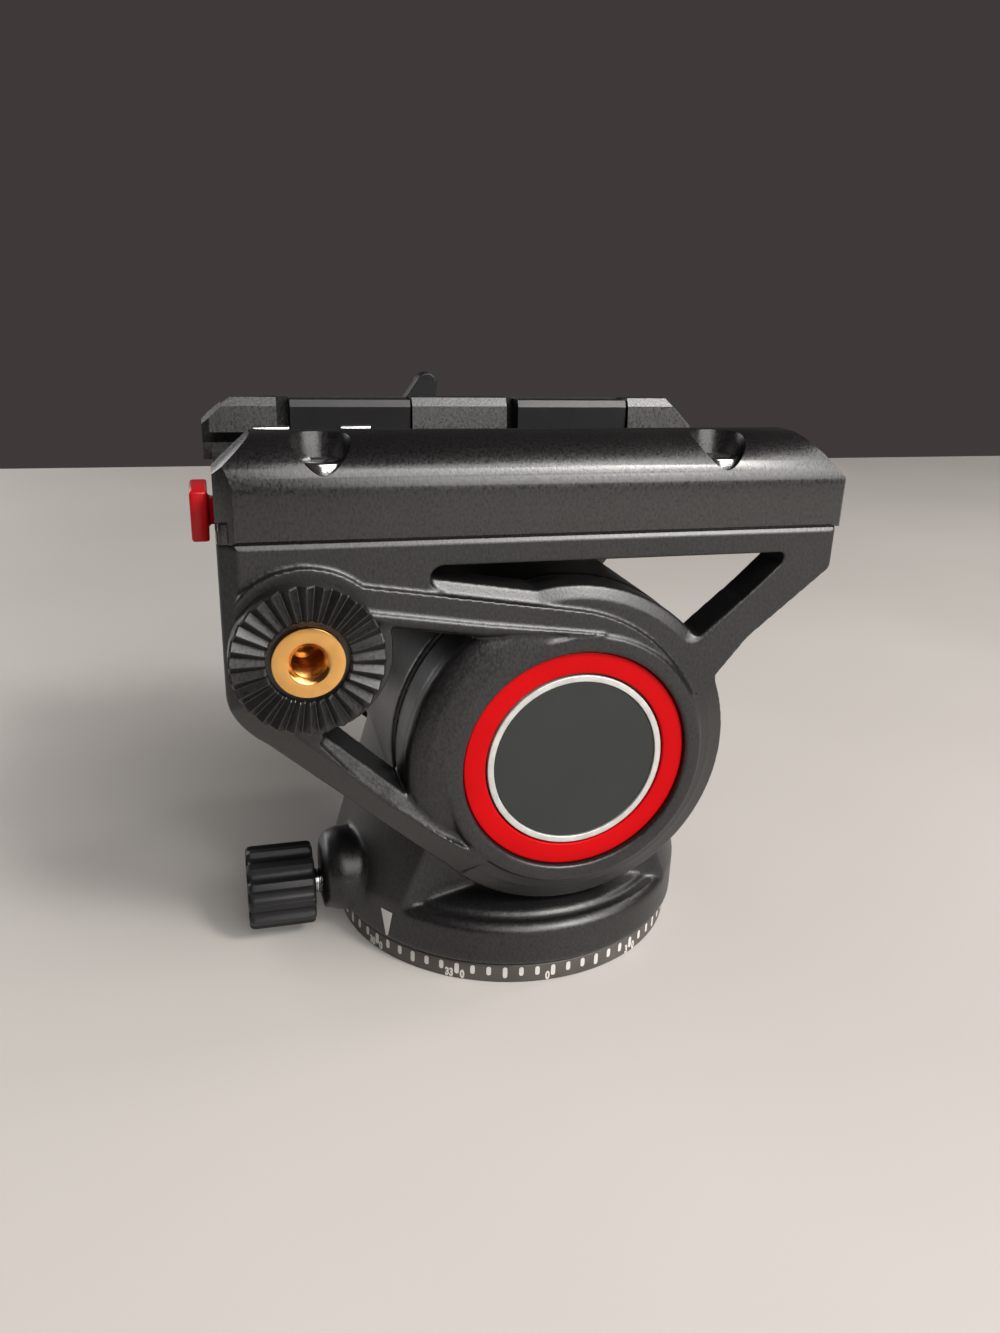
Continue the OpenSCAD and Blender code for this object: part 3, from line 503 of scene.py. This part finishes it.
def wrapped(b, outline, radius, angle):
    """Adds a flat outline in millimetres to a bmesh as a thin plate bent round the pan axis."""
    def at(x, z, r):
        a = angle + x / radius
        return Vector((r * math.cos(a), r * math.sin(a), z)) * MM
    low = [b.verts.new(at(x, z, radius - MARK_SUNK)) for x, z in outline]
    top = [b.verts.new(at(x, z, radius + MARK_PROUD)) for x, z in outline]
    n = len(outline)
    b.faces.new(top)
    b.faces.new(low[::-1])
    for i in range(n):
        j = (i + 1) % n
        b.faces.new((low[i], low[j], top[j], top[i]))


# Cheeks: the cast forms that stand on the solid's outline

BAR_SLOPE = math.radians(-9.0)
RIM_CENTRE, RIM_R, RIM_RISE = Vector((0.3, 45.0)), 27.7, 2.2
STRUT_A, CORNER_R = math.radians(43.4), 2.6
CHEEK_IN, TERRACE_Y, TERRACE_R = 27.2, 36.1, 22.8
SPLIT_Z, SPLIT_EDGE, SPLIT_TILT = 83.1, 0.75, math.radians(30)

# The rim's path: its sill along the long window, its start on the hub and its run up the front strut
SILL_OFF, SILL_X, RIM_START, STRUT_RUN = 26.0, (-28, -20, -12, -6.2), math.radians(101.5), 9.0
# The first point of the rim's path beside which the casting leaves room, and how high that room is
ROOM_FROM, ROOM_HIGH = 12, 2.4
# The lit slope along the lower strut: its path in the side view, and how far it rises at each point
SLOPE = [Vector(p) for p in ((-40.3, 52.0), (-35.3, 46.1), (-29.7, 40.3), (-25.1, 36.7),
                             (-20.6, 33.2), (-16.9, 30.9), (-13.0, 29.0))]
SLOPE_RISE = (2.2, 3.2, 3.4, 3.0, 1.9, 0.2, -2.2)
# Where the bead on the bar begins, and the hub face's bore and outer edge
BEAD_X, FACE_BORE, DOME_R = -33.0, 19.55, 28.7


def way(a):
    """The direction at an angle in the side view."""
    return Vector((math.cos(a), math.sin(a)))


def along_bar(x, off):
    """The point at x on the line beside the bar that passes the tilt axis at a distance."""
    return Vector((x, TILT.z + off / math.cos(BAR_SLOPE) + (x - TILT.x) * math.tan(BAR_SLOPE)))


def arc(centre, r, a0, a1, n):
    return [centre + r * way(a0 + (a1 - a0) * k / n) for k in range(n + 1)]


def strip(name, path, section, s):
    """A closed bar along a path in the side view; a section gives its points as height and depth."""
    b = bmesh.new()
    rows = []
    for i, p in enumerate(path):
        t = path[min(i + 1, len(path) - 1)] - path[max(i - 1, 0)]
        up = Vector((-t.y, t.x)).normalized()
        row = [(p + h * up, y) for h, y in section(i / (len(path) - 1))]
        rows.append([b.verts.new(Vector((q.x, s * y, q.y)) * MM) for q, y in row])
    n = len(rows[0])
    for one, two in zip(rows, rows[1:]):
        for i in range(n):
            j = (i + 1) % n
            b.faces.new((one[i], one[j], two[j], two[i]))
    b.faces.new(rows[0])
    b.faces.new(rows[-1])
    bmesh.ops.triangulate(b, faces=[f for f in b.faces if len(f.verts) > 4])
    return mesh_of(b, name)


def rim_path():
    """Along the long window's sill, over the hub and round the corner into the front strut."""
    up_strut = way(STRUT_A)
    left = Vector((-up_strut.y, up_strut.x))
    axis = Vector((TILT.x, TILT.z)) + CORNER_R * left
    gap = axis - RIM_CENTRE
    half = gap.dot(up_strut)
    run = -half + math.sqrt(half * half - gap.length_squared + (RIM_R + CORNER_R) ** 2)
    corner = axis + run * up_strut
    out = corner - RIM_CENTRE
    hub_end = math.atan2(out.y, out.x)
    bar = [along_bar(x, SILL_OFF) for x in SILL_X]
    over = arc(RIM_CENTRE, RIM_R, RIM_START, hub_end, 26)
    turn = arc(corner, CORNER_R, hub_end - math.pi, STRUT_A - math.pi / 2, 8)
    return bar + over + turn[1:] + [turn[-1] + STRUT_RUN * up_strut]


def rim_section(t):
    """A lit slope along the outer edge, which dies out up the strut."""
    rise = RIM_RISE * min(1.0, max(0.12, (1.02 - t) * 6.5))
    return [(0, PLAIN_Y), (rise, PLAIN_Y - 0.5 * rise), (rise, CHEEK_IN), (-6, CHEEK_IN), (-6, PLAIN_Y)]


def room_section(t):
    """A plain block, the same all along its path."""
    inner, outer = CHEEK_IN - 0.6, TERRACE_Y + 1
    return [(0, inner), (ROOM_HIGH, inner), (ROOM_HIGH, outer), (0, outer)]


def bead_section(t):
    """The lower half of the bar: a rounded bead that stands off its upper half and runs out on the hub."""
    k = min(1.0, (1.0 - t) / 0.55 + 0.06)
    return [(0, RIDGE_Y - 0.4), (-0.7 * k, TERRACE_Y), (-1.5 * k, TERRACE_Y), (-2.4 * k, TERRACE_Y - 0.6),
            (-3.0 * k, TERRACE_Y - 1.8), (-3.0 * k, 30.0), (0, 30.0)]


def hub_face(s):
    """The hub's raised face: a stepped edge from the bar round the front, a soft dome at the rear."""
    from_a, to_a, blend = math.radians(-172), math.radians(108), math.radians(30)

    def front_share(t):
        a = math.tau * t if t < 0.5 else math.tau * (t - 1)
        return max(0.0, min(1.0, min(a - from_a, to_a - a) / blend))

    def domed(r, h, tag, t):
        return r, s * (h - tag * front_share(t))

    edge = [(FACE_BORE, 33.0, 0), (TERRACE_R + 0.1, 33.0, 0), (TERRACE_R + 0.1, RIDGE_Y - 0.4, 0),
            (TERRACE_R - 0.6, TERRACE_Y, 0), (19.9, TERRACE_Y, 0), (FACE_BORE, TERRACE_Y - 0.35, 0)]
    dome = [(FACE_BORE, 29.0, 0), (DOME_R, 29.0, 0), (DOME_R, 32.6, 2.6), (28.3, 33.8, 3.2),
            (27.3, 34.7, 3.2), (25.5, 35.5, 2.6), (TERRACE_R - 0.4, TERRACE_Y - 0.02, 1.8),
            (FACE_BORE, TERRACE_Y - 0.4, 1.8)]
    cuts = [k / 180 for k in range(181)]
    forms = []
    for outline in (edge, dome):
        b = bmesh.new()
        b.from_mesh(sector(outline, 1, cuts, domed, "Y", TILT))
        bmesh.ops.remove_doubles(b, verts=b.verts, dist=1e-6)
        forms.append(mesh_of(b, "hub_face"))
    return forms


def cheek_forms(s):
    """What stands on a cheek: the lit rim, the bead on the bar and the hub's raised face."""
    bead_end = TILT.x + TERRACE_R * math.sin(-BAR_SLOPE)
    bead = [along_bar(BEAD_X + (bead_end - BEAD_X) * k / 12, TERRACE_R) for k in range(13)]
    return [strip("rim", rim_path(), rim_section, s), strip("bead", bead, bead_section, s)] + hub_face(s)


def slope_section(t):
    """The wedge that leaves a broad lit slope along the lower strut."""
    rise = SLOPE_RISE[round(t * (len(SLOPE_RISE) - 1))]
    over = rise + 2.5
    return [(-0.4, PLAIN_Y + 0.2), (over, PLAIN_Y - 0.5 * over), (over, TERRACE_Y + 3), (-0.4, TERRACE_Y + 3)]


def cheek_room(s):
    """What the casting leaves free: above the hub up to the front strut, and along the lower strut."""
    return [strip("corner_room", rim_path()[ROOM_FROM:], room_section, s),
            strip("slope_room", SLOPE, slope_section, s)]


def split_edge(mesh):
    """Cuts the slim bright chamfer along the top edge, under the rails."""
    out, up = math.cos(SPLIT_TILT), math.sin(SPLIT_TILT)
    most = out * PLAIN_Y + up * SPLIT_Z - SPLIT_EDGE * up
    for v in mesh.vertices:
        over = (out * abs(v.co.y) + up * v.co.z) / MM - most
        if over > 0:
            v.co.y -= math.copysign(over * out * MM, v.co.y)
            v.co.z -= over * up * MM


# Housing: the round wall on the band and the lobe that carries the pan lock

WALL_R, WALL_TOP, LOBE_Z, LOBE_R = 32.0, 19.0, 12.4, 8.1


def housing_forms():
    """The wall, low enough for the cheeks to swing over it, and the lobe."""
    wall = lathe("wall", [(20, 11.5), (WALL_R, 11.5), (WALL_R, 13.4), (27.0, 15.3), (25.0, WALL_TOP),
                          (20, WALL_TOP)], "Z", FOOT, 120)
    lobe = lathe("lobe", [(0, -24), (LOBE_R, -24), (LOBE_R, -35.2), (7.3, -37.4), (5.6, -38.6),
                          (0, -38.6)], "X", Vector((0, PAN_KNOB.y, LOBE_Z)), 64)
    forms = [wall.data.copy(), lobe.data.copy()]
    for o in (wall, lobe):
        bpy.data.objects.remove(o)
    return forms


# Castings and machined pieces

cast("near_cheek", COAT, 0.3, 7, 0.4, cheek_room(-1), cheek_forms(-1), split_edge)
cast("far_cheek", COAT, 0.36, 6, 0.5, cheek_room(1), cheek_forms(1), split_edge)
cast("pan_housing", COAT, 0.5, 6, 0.7, added=housing_forms())
cast("plate_lock_lever", LEVER_BLACK, 0.25, 4)
for node, material, width in (
        ("near_rail", RAIL_COAT, 0.3), ("deck_bridge", RAIL_COAT, 0.25), ("release_button", RED_PLASTIC, 0.5),
        ("tilt_brake_washer", BRONZE, 0.2), ("catch_pin", STEEL, 0.15), ("base_plate", ALLOY, 0.2)):
    machined(node, material, width)
machined("far_rail", RAIL_COAT, 0.15, lip=(FACE_LEAN, 1.6))
machined("clamp_jaws", LEVER_BLACK, 0.15, lip=(0.0, 1.3))


# Foot: dial ring with its marks and numbers

FIRST_MARK = math.radians(-89.3)
TICK_R, TICK_TOP, TICK_LONG, TICK_SHORT = 0.42, 3.35, 1.05, 1.5


def stadium(r, z0, z1):
    """An upright bar with round ends."""
    turns = [math.pi * k / 5 for k in range(6)]
    top = [(r * math.cos(a), z1 - r + r * math.sin(a)) for a in turns]
    return top + [(-x, z0 + z1 - z) for x, z in top]


def make_dial():
    """The ring, a mark at every 5 degrees with each third one longer, and a number at every 30."""
    inner = DIAL_R - DIAL_W
    outline = rounded([(inner, 0), (DIAL_R, 0), (DIAL_R, DIAL_H), (inner, DIAL_H)], 0.45)
    placed(lathe("dial_ring", outline, "Z", FOOT, 144), "scale_ring", DIAL_BLACK)
    b = bmesh.new()
    for k, low in enumerate((TICK_LONG, TICK_SHORT, TICK_SHORT)):
        wrapped(b, stadium(TICK_R, low, TICK_TOP), DIAL_R, FIRST_MARK + k * math.radians(5))
    ticks = ring_of("dial_ticks", mesh_of(b, "ticks"), 24, "Z", FOOT, MARK_WHITE)
    dressed(ticks, "base", MARK_WHITE)
    b = bmesh.new()
    for degrees in range(0, 360, 30):
        add_number(b, str(degrees), FIRST_MARK + math.radians(degrees))
    dressed(new_object("dial_numbers", mesh_of(b, "dial_numbers")), "base", MARK_WHITE)


def add_number(b, words, angle):
    """Adds a plain number to a bmesh, bent round the dial's lower edge and split by its mark."""
    high, low, mark, slim, bold = 1.55, 0.4, 1.25, 0.72, 0.1
    digit_share = 0.69
    half = (len(words) + 1) // 2
    for part, side in ((words[:half], -1), (words[half:], 1)):
        if not part:
            continue
        text = bpy.data.curves.new("number", "FONT")
        text.body = part
        text.size = high / digit_share
        text.offset = bold
        text.align_x = "RIGHT" if side < 0 else "LEFT"
        o = new_object("number", text)
        bpy.context.view_layer.update()
        flat = bpy.data.meshes.new_from_object(o.evaluated_get(bpy.context.evaluated_depsgraph_get()))
        bpy.data.objects.remove(o)
        piece = bmesh.new()
        piece.from_mesh(flat)
        bmesh.ops.remove_doubles(piece, verts=piece.verts, dist=1e-5)
        grown_up = bmesh.ops.extrude_face_region(piece, geom=piece.faces[:])
        lifted = {v for v in grown_up["geom"] if isinstance(v, bmesh.types.BMVert)}
        for v in piece.verts:
            a = angle + (v.co.x * slim + side * mark / 2) / DIAL_R
            r = DIAL_R + (MARK_PROUD if v in lifted else -MARK_SUNK)
            v.co = Vector((r * math.cos(a), r * math.sin(a), low + v.co.y)) * MM
        bmesh.ops.recalc_face_normals(piece, faces=piece.faces)
        piece.to_mesh(flat)
        piece.free()
        b.from_mesh(flat)
        bpy.data.meshes.remove(flat)


def make_index():
    """The pointer on the housing's band."""
    b = bmesh.new()
    wide, top, tip, angle = 1.4, 10.5, 5.2, math.radians(-143.1)
    outline = [(-wide, top), (-0.25, tip + 0.1), (0, tip), (0.25, tip + 0.1), (wide, top), (0, top)]
    wrapped(b, outline, BAND_R, angle)
    dressed(new_object("pan_index", mesh_of(b, "pan_index")), "pan_body", MARK_WHITE)


make_dial()
make_index()


# Ribbed knobs

def make_knob(node, axis, centre, h0, h1, r, ribs):
    """A moulded knob with scooped flutes between its ribs, a soft rim and a dished end."""
    out = 1 if h1 > h0 else -1
    scoop, half_wide = 0.95, 0.3
    plain = rounded([(0, h0), (r, h0, 0.9), (r, h1, 1.3), (r - 2.4, h1, 0.5), (r - 3.0, h1 - out * 0.5, 0.5),
                     (0, h1 - out * 0.3)], 0.5)
    outline = [(x, h, 1.0 if x > r - 1.0 else 0.0) for x, h in plain]
    cuts = [k / 14 for k in range(15)]

    def flute(x, h, tag, t):
        across = (t - 0.5) / half_wide
        return x - tag * scoop * math.sqrt(max(0.0, 1 - across * across)), h

    seed = sector(outline, ribs, cuts, flute, axis, centre)
    placed(ring_of(node + "_ribbed", seed, ribs, axis, centre, KNOB_BLACK), node, KNOB_BLACK, 38.0)


make_knob("pan_lock_knob", "X", PAN_KNOB, -40.0, -52.4, 7.8, 12)
make_knob("tilt_lock_knob", "Y", TILT, 37.2, 50.6, 12.0, 16)


# Handle mounts: toothed discs and their brass threads

def make_rosette(side, s):
    """V-shaped teeth that grow from the thread to the rim."""
    y0, y1 = RIDGE_Y, RIDGE_Y + ROSETTE_T
    inner, rim = BRASS_R + 0.8, ROSETTE_R
    bore = BRASS_R + 0.02
    outline = [(bore, y0, 0), (rim, y0, 0), (rim, y1 - 1.9, 0), (rim, y1 - 0.25, 1), (rim - 0.25, y1, 1),
               (9.0, y1, 0.88), (inner + 0.3, y1, 0.7), (inner, y1 - 0.2, 0.7), (inner, y1 - 1.5, 0),
               (bore, y1 - 1.5, 0)]

    def notch(r, h, tag, t):
        deep = max(0.0, min(1.0, (0.47 - abs(t - 0.5)) / 0.44))
        return r, s * (h - tag * TOOTH_D * deep)

    seed = sector(outline, TEETH, [0, 0.03, 0.25, 0.47, 0.53, 0.75, 0.97, 1], notch, "Y", HANDLE)
    node = side + "_rosette"
    placed(ring_of(node + "_toothed", seed, TEETH, "Y", HANDLE, COAT), node, COAT, 24.0)


def make_insert(side, s):
    """A brass insert with the crests of its thread showing in the bore."""
    y1, turns = RIDGE_Y + ROSETTE_T, 9
    back, mouth = y1 - THREAD_L, (THREAD_R, y1 - 0.7)
    crest, root = THREAD_R + 0.02, THREAD_R + 0.42
    outline = rounded([(0, back - 2), (BRASS_R, back - 2), (BRASS_R, y1), (THREAD_R + 0.7, y1), mouth], 0.22)
    outline = outline[:-1] + [mouth]
    for k in range(turns):
        h = y1 - 1.0 - k
        outline += [(crest, h), (root, h - 0.42), (root, h - 0.55), (crest, h - 0.95)]
    outline += [(THREAD_R, back), (0, back)]
    node = side + "_handle_insert"
    sided = [(r, s * h) for r, h in outline]
    placed(lathe(node + "_threaded", sided, "Y", HANDLE, 72), node, BRASS, EDGE_BREAK)


for side, s in (("near", -1), ("far", 1)):
    make_rosette(side, s)
    make_insert(side, s)


# Badge rings and the bare disc

def make_badge():
    face, flat, back = -(PLAIN_Y + 0.5), -(PLAIN_Y + 0.2), -(PLAIN_Y - 1.6)
    for node, outline, soft, material in (
            ("accent_ring", [(15.7, back), (19.4, back), (19.4, face), (15.7, face)], 0.3, RED_RING),
            ("badge_ring", [(14.25, back), (15.35, back), (15.35, face), (14.25, face)], 0.18, PALE_RING),
            ("badge_disc", [(0, back), (14.22, back), (14.22, flat), (13.7, flat), (0, flat - 0.06)], 0.15,
             BADGE_DARK)):
        placed(lathe(node + "_turned", rounded(outline, soft), "Y", TILT, 144), node, material)


make_badge()


# Rail screws, groove pins and threads

def make_rail_screws():
    """Cap screws with hexagon sockets, one on each counterbore."""
    low, head, top = 79.3, 91.4, 94.4
    r, shank, socket = 4.0, 2.5, 2.0
    plain = [(0, low, 0), (shank, low, 0), (shank, head, 0), (r, head, 0), (r, top - 0.5, 0),
             (r - 0.15, top - 0.15, 0), (r - 0.5, top, 0), (socket + 0.35, top, 1), (socket, top - 0.3, 1),
             (socket, top - 2.0, 1), (0, top - 2.4, 0)]
    cuts = [k / 6 for k in range(7)]

    def hexagon(x, h, tag, t):
        return (x / math.cos(math.radians(60 * t - 30)) if tag else x), h

    one = ring_of("cap_screw", sector(plain, 6, cuts, hexagon, "Z", FOOT), 6, "Z", FOOT, STEEL)
    spots = bpy.data.meshes.new("screw_spots")
    spots.from_pydata([Vector((x, y, 0)) * MM for x, y in
                       ((-38.5, -29.6), (25.0, -29.6), (-47.0, 29.6), (36.5, 29.6))], [], [])
    o = grown(spots, "rail_screws_capped", ON_SPOTS, Shape=one, Finish=STEEL)
    bpy.data.objects.remove(one)
    placed(o, "rail_screws", STEEL, 30.0)


def make_groove_pins():
    """Two small bright pins in the groove, one in the far rail's lip and one on the rear jaw."""
    r, z = 0.65, 92.0
    for name, body, x0, x1, y in (("lip_pin", "tilt_frame", -46.0, -38.9, 23.1),
                                  ("jaw_pin", "jaws", -29.2, -23.0, 23.9)):
        outline = rounded([(0, x0), (r, x0), (r, x1), (0, x1)], 0.5)
        dressed(lathe(name, outline, "X", Vector((0, y, z)), 24), body, STEEL)


def threaded(node, axis, centre, outline, h0, h1, pitch, depth, material):
    """A turned piece whose first and last corners are joined by the crests of a thread."""
    turns = int(abs(h1 - h0) / pitch)
    step = (h1 - h0) / turns
    r = outline[-1][0]
    crests = []
    for k in range(turns):
        h = h0 + k * step
        crests += [(r, h + 0.05 * step), (r + depth, h + 0.45 * step), (r + depth, h + 0.6 * step),
                   (r, h + step)]
    placed(lathe(node + "_threaded", outline + crests, axis, centre, 60), node, material, EDGE_BREAK)


make_rail_screws()
make_groove_pins()
threaded("tripod_insert", "Z", FOOT, [(3.97, 13.0), (11.0, 13.0), (11.0, 10.0), (8.0, 10.0), (8.0, 0.0),
                                      (4.6, 0.0), (3.97, 0.6)], 0.6, 12.9, 1.59, 0.6, STEEL)
threaded("pan_lock_screw", "X", PAN_KNOB, [(0, -50.4), (0, -27.1), (2.5, -27.1)], -27.2, -50.3, 0.8, -0.3,
         STEEL)


# Stage, light and camera

def floor_finish():
    m, tree, shader, at = finish("table_top", (0.46, 0.435, 0.41), 0.55)
    cloud = noise(tree, at, 6.0, 3.0)
    tree.links.new(ramp(tree, cloud, [(0.3, (0.445, 0.42, 0.396)), (0.7, (0.475, 0.45, 0.426))]),
                   shader.inputs["Base Color"])
    tree.links.new(spread(tree, cloud, 0.5, 0.6), shader.inputs["Roughness"])
    return m


def make_stage():
    """The table top, which ends a little way behind the head."""
    half, front, back = 1.5, -1.4, 0.546
    table = bpy.data.meshes.new("table_top")
    corners = [(-half, front, 0), (half, front, 0), (half, back, 0), (-half, back, 0)]
    table.from_pydata(corners, [], [(0, 1, 2, 3)])
    table.materials.append(floor_finish())
    new_object("table_top", table)


def softbox(name, azimuth, elevation, away, size, power, colour):
    """A rectangular lamp that looks at the head; azimuth turns from straight in front towards the right."""
    turn, lift = math.radians(azimuth), math.radians(elevation)
    towards = Vector((math.sin(turn) * math.cos(lift), -math.cos(turn) * math.cos(lift), math.sin(lift)))
    lamp = bpy.data.lights.new(name, "AREA")
    lamp.shape = "RECTANGLE"
    lamp.size, lamp.size_y = size
    lamp.energy = power
    lamp.color = colour
    o = bpy.data.objects.new(name, lamp)
    bpy.context.scene.collection.objects.link(o)
    o.location = Vector((0, 0, 0.06)) + away * towards
    o.rotation_euler = towards.to_track_quat("Z", "Y").to_euler()


def make_light():
    softbox("key", 28, 36, 0.9, (1.05, 0.85), 14.0, (1, 0.975, 0.95))
    softbox("lamp", 33, 41, 1.1, (0.2, 0.2), 7.0, (1, 0.97, 0.94))
    softbox("side", 92, 40, 1.1, (0.15, 0.15), 1.6, (1, 0.97, 0.94))
    softbox("back", 225, 16, 0.9, (0.8, 0.4), 3.0, (1, 1, 1))
    world = bpy.data.worlds.new("room")
    bpy.context.scene.world = world
    world.use_nodes = True
    tree = world.node_tree
    back = tree.nodes["Background"]
    path = tree.nodes.new("ShaderNodeLightPath")
    seen = tree.nodes.new("ShaderNodeMath")
    seen.operation = "MAXIMUM"
    mix = tree.nodes.new("ShaderNodeMix")
    mix.data_type = "RGBA"
    mix.inputs["A"].default_value = (0.15, 0.143, 0.138, 1)
    mix.inputs["B"].default_value = (0.05, 0.042, 0.041, 1)
    tree.links.new(path.outputs["Is Camera Ray"], seen.inputs[0])
    tree.links.new(path.outputs["Is Glossy Ray"], seen.inputs[1])
    tree.links.new(seen.outputs[0], mix.inputs["Factor"])
    tree.links.new(mix.outputs["Result"], back.inputs["Color"])


def make_camera():
    """The photograph's view: place and turn fitted to the object's own edges and circles."""
    yaw, pitch, roll = math.radians(16.0), math.radians(20.13), math.radians(1.84)
    place, focal_px, photo_high_px = Vector((-54.0, -182.2, 118.5)), 1028.2, 1333.0
    ahead = Vector((math.sin(yaw) * math.cos(pitch), math.cos(yaw) * math.cos(pitch), -math.sin(pitch)))
    right = Vector((math.cos(yaw), -math.sin(yaw), 0))
    up = right.cross(ahead)
    right, up = right * math.cos(roll) + up * math.sin(roll), up * math.cos(roll) - right * math.sin(roll)
    data = bpy.data.cameras.new("photo_view")
    data.sensor_width = 36.0
    data.lens = data.sensor_width * focal_px / photo_high_px
    data.clip_start = 0.005
    cam = bpy.data.objects.new("photo_view", data)
    bpy.context.scene.collection.objects.link(cam)
    turn = Matrix((right, up, -ahead)).transposed().to_4x4()
    cam.matrix_world = Matrix.Translation(place * MM) @ turn
    bpy.context.scene.camera = cam


make_stage()
make_light()
make_camera()
bpy.context.scene.view_settings.view_transform = "Standard"
